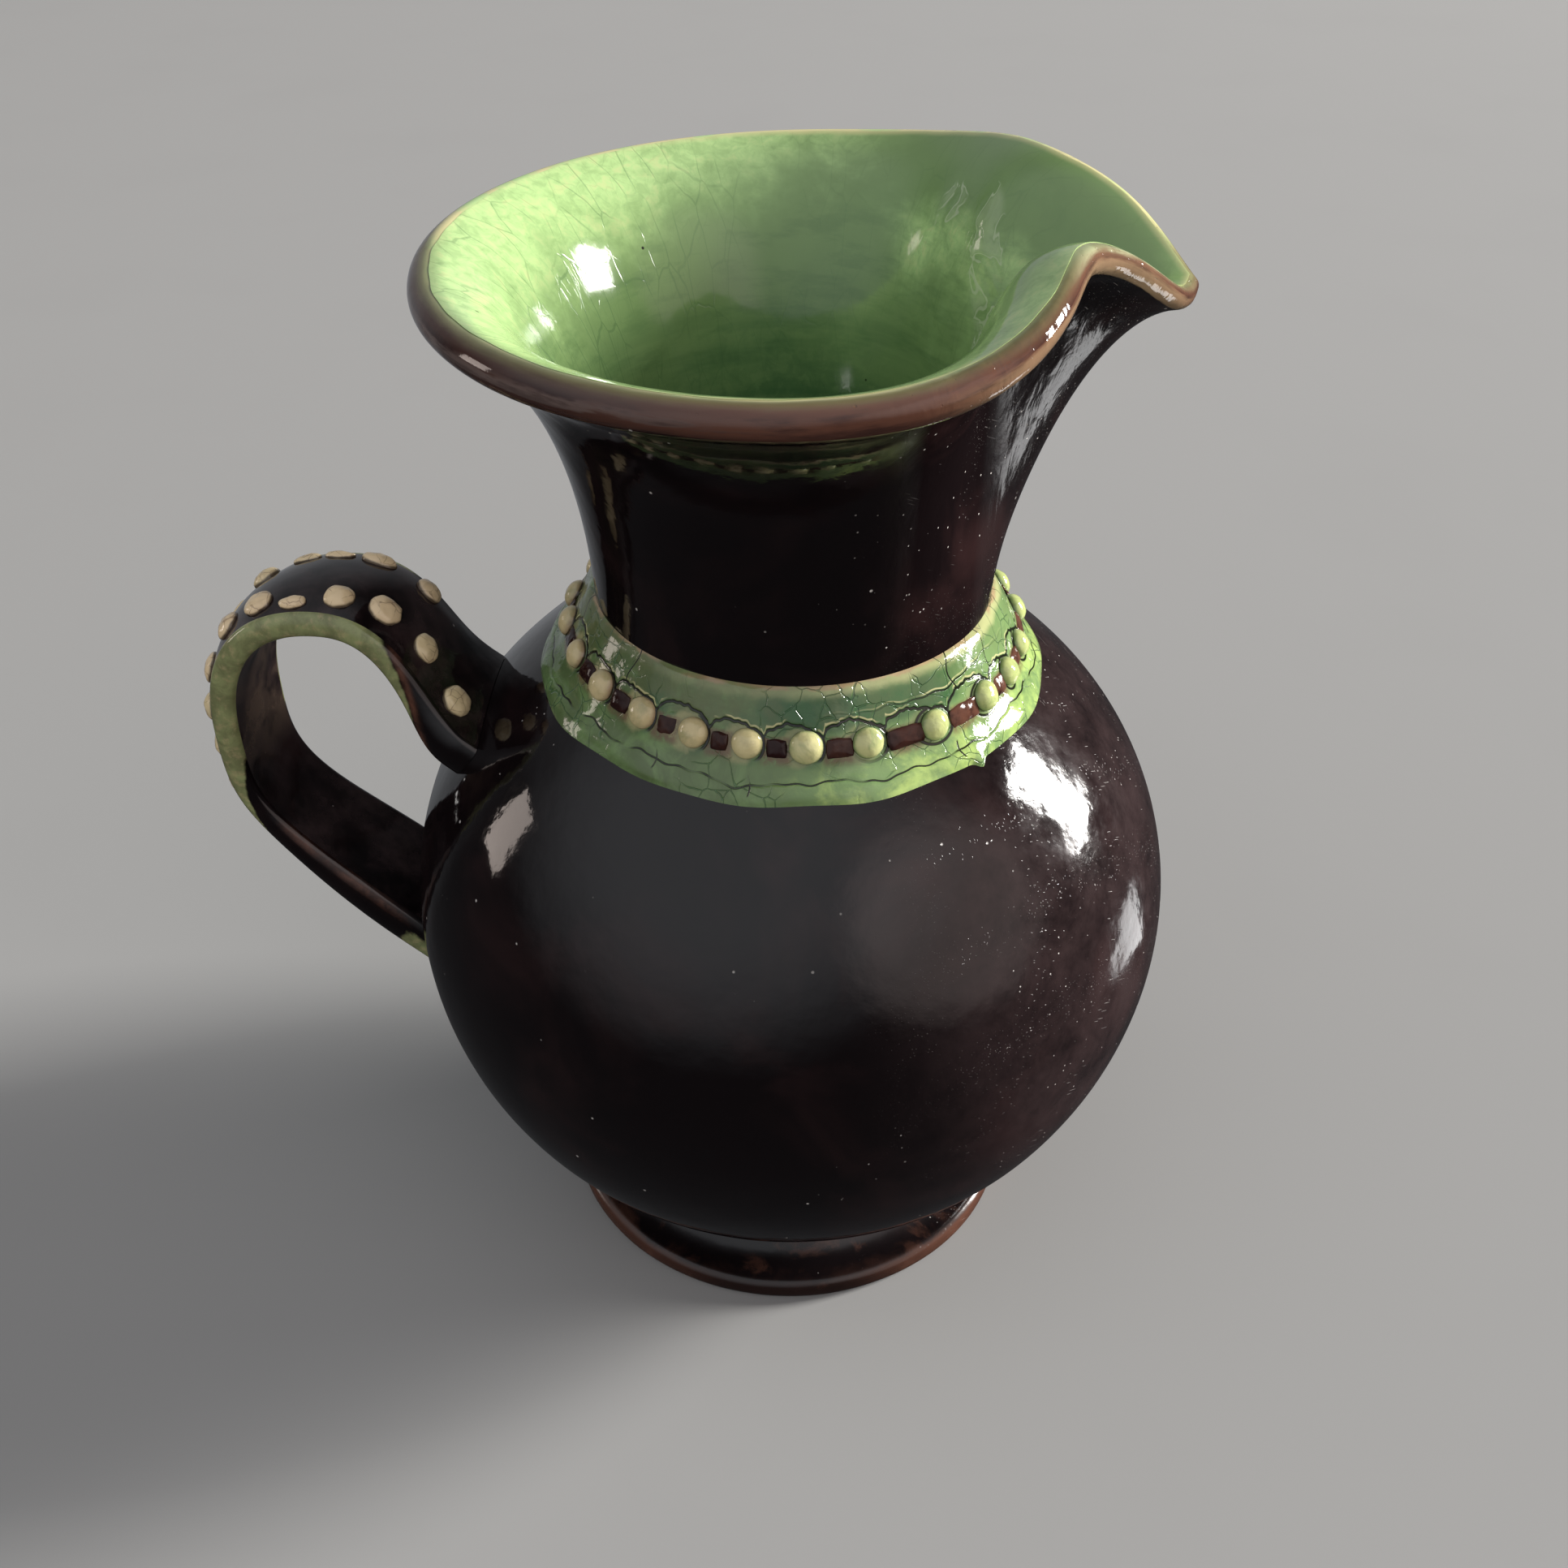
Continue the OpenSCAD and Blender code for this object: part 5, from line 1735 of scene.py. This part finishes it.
class JUG_OT_stage(Operator):
    """Sets up the floor, the soft lights and the camera"""
    bl_idname = "jug.stage"
    bl_label = "Stage"

    def execute(self, context):
        scene = context.scene
        stage = scene.jug.stage
        half = stage.floor_size / 2
        mesh = bpy.data.meshes.new("stage_floor")
        corners = [(-half, -half, 0), (half, -half, 0), (half, half, 0), (-half, half, 0)]
        mesh.from_pydata(corners, [], [(0, 1, 2, 3)])
        mesh.materials.append(floor_finish(stage.floor))
        floor = bpy.data.objects.new("stage_floor", mesh)
        scene.collection.objects.link(floor)
        # The glaze mirrors the dim room below it, not the pale floor
        floor.visible_glossy = False
        soft_light("window", direction(*WINDOW_AT), WINDOW_SIZE, stage.window, WINDOW_TINT)
        soft_light("side", direction(*SIDE_AT), SIDE_SIZE, stage.side, SIDE_TINT)
        glint = soft_light("glint", GLINT_PLACE, GLINT_SIZE, stage.glint, WHITE)
        glint.rotation_euler = GLINT_TURN
        glint.visible_diffuse = False
        self.room(scene, stage)
        self.camera(scene, stage)
        return {"FINISHED"}

    def room(self, scene, stage):
        """Soft light of the room, bright towards the ceiling in front and dim elsewhere."""
        world = bpy.data.worlds.new("room")
        world.use_nodes = True
        tree = world.node_tree
        tree.nodes.clear()
        way = wired(tree, "ShaderNodeTexCoord").outputs["Generated"]

        def glow(middle, edge, dim, bright, colour):
            toward = wired(tree, "ShaderNodeVectorMath", {0: way, 1: middle}, operation="DOT_PRODUCT")
            strength = wired(tree, "ShaderNodeMapRange", {
                "Value": toward.outputs["Value"], "From Min": edge, "From Max": FULL_GLOW,
                "To Min": dim, "To Max": bright}, interpolation_type="SMOOTHSTEP")
            return wired(tree, "ShaderNodeBackground", {
                "Color": opaque(colour), "Strength": strength.outputs[0]}).outputs[0]

        light = wired(tree, "ShaderNodeAddShader", {
            0: glow(CEILING_WAY, CEILING_EDGE, stage.room, stage.ceiling, stage.room_tint),
            1: glow(WALL_WAY, WALL_EDGE, 0.0, stage.wall, stage.wall_tint)})
        light = wired(tree, "ShaderNodeAddShader", {
            0: light.outputs[0], 1: glow(BACK_WAY, BACK_EDGE, 0.0, stage.back, stage.room_tint)})
        plain = wired(tree, "ShaderNodeBackground", {"Color": opaque(stage.backdrop)})
        seen = wired(tree, "ShaderNodeMixShader", {
            0: wired(tree, "ShaderNodeLightPath").outputs["Is Camera Ray"],
            1: light.outputs[0], 2: plain.outputs[0]})
        wired(tree, "ShaderNodeOutputWorld", {"Surface": seen.outputs[0]})
        scene.world = world
        scene.view_settings.view_transform = "Standard"

    def camera(self, scene, stage):
        """Camera at the photograph's view."""
        lens = bpy.data.cameras.new("camera")
        lens.lens = stage.eye_focus / PHOTO_SIDE * lens.sensor_width
        lens.shift_x = stage.eye_shift / PHOTO_SIDE
        lens.clip_start = 1 * MM
        camera = bpy.data.objects.new("camera", lens)
        rise, roll = stage.eye_rise, stage.eye_roll
        back = Vector((0, -math.cos(rise), math.sin(rise)))
        up = Vector((0, math.sin(rise), math.cos(rise)))
        right = Vector((1, 0, 0)) * math.cos(roll) + up * math.sin(roll)
        up = back.cross(right)
        place = Vector((0, 0, stage.eye_target)) + back * stage.eye_distance
        camera.matrix_world = Matrix.Translation(place) @ Matrix((right, up, back)).transposed().to_4x4()
        scene.collection.objects.link(camera)
        scene.camera = camera


class JUG_PT_panel(Panel):
    """Lists the steps that build the jug"""
    bl_idname = "JUG_PT_panel"
    bl_label = "Jug"
    bl_space_type = "VIEW_3D"
    bl_region_type = "UI"
    bl_category = "Jug"

    def draw(self, context):
        for step in STEPS:
            self.layout.operator(step.bl_idname)


STEPS = (
    JUG_OT_body, JUG_OT_foot, JUG_OT_neck, JUG_OT_collar,
    JUG_OT_beading, JUG_OT_handle, JUG_OT_dots, JUG_OT_stage,
)
GROUPS = (JugGlobe, JugFoot, JugNeck, JugCollar, JugHandle, JugGlaze, JugStage, JugSettings)
CLASSES = GROUPS + STEPS + (JUG_PT_panel,)


def register():
    """Registers the settings, the steps and the panel."""
    for item in CLASSES:
        bpy.utils.register_class(item)
    bpy.types.Scene.jug = PointerProperty(type=JugSettings)


def unregister():
    """Takes them out again."""
    del bpy.types.Scene.jug
    for item in reversed(CLASSES):
        bpy.utils.unregister_class(item)


def main():
    """Builds the jug and its stage."""
    register()
    bpy.ops.jug.body()
    bpy.ops.jug.foot()
    bpy.ops.jug.neck()
    bpy.ops.jug.collar()
    bpy.ops.jug.beading()
    bpy.ops.jug.handle()
    bpy.ops.jug.dots()
    bpy.ops.jug.stage()
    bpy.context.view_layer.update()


if __name__ == "__main__":
    main()
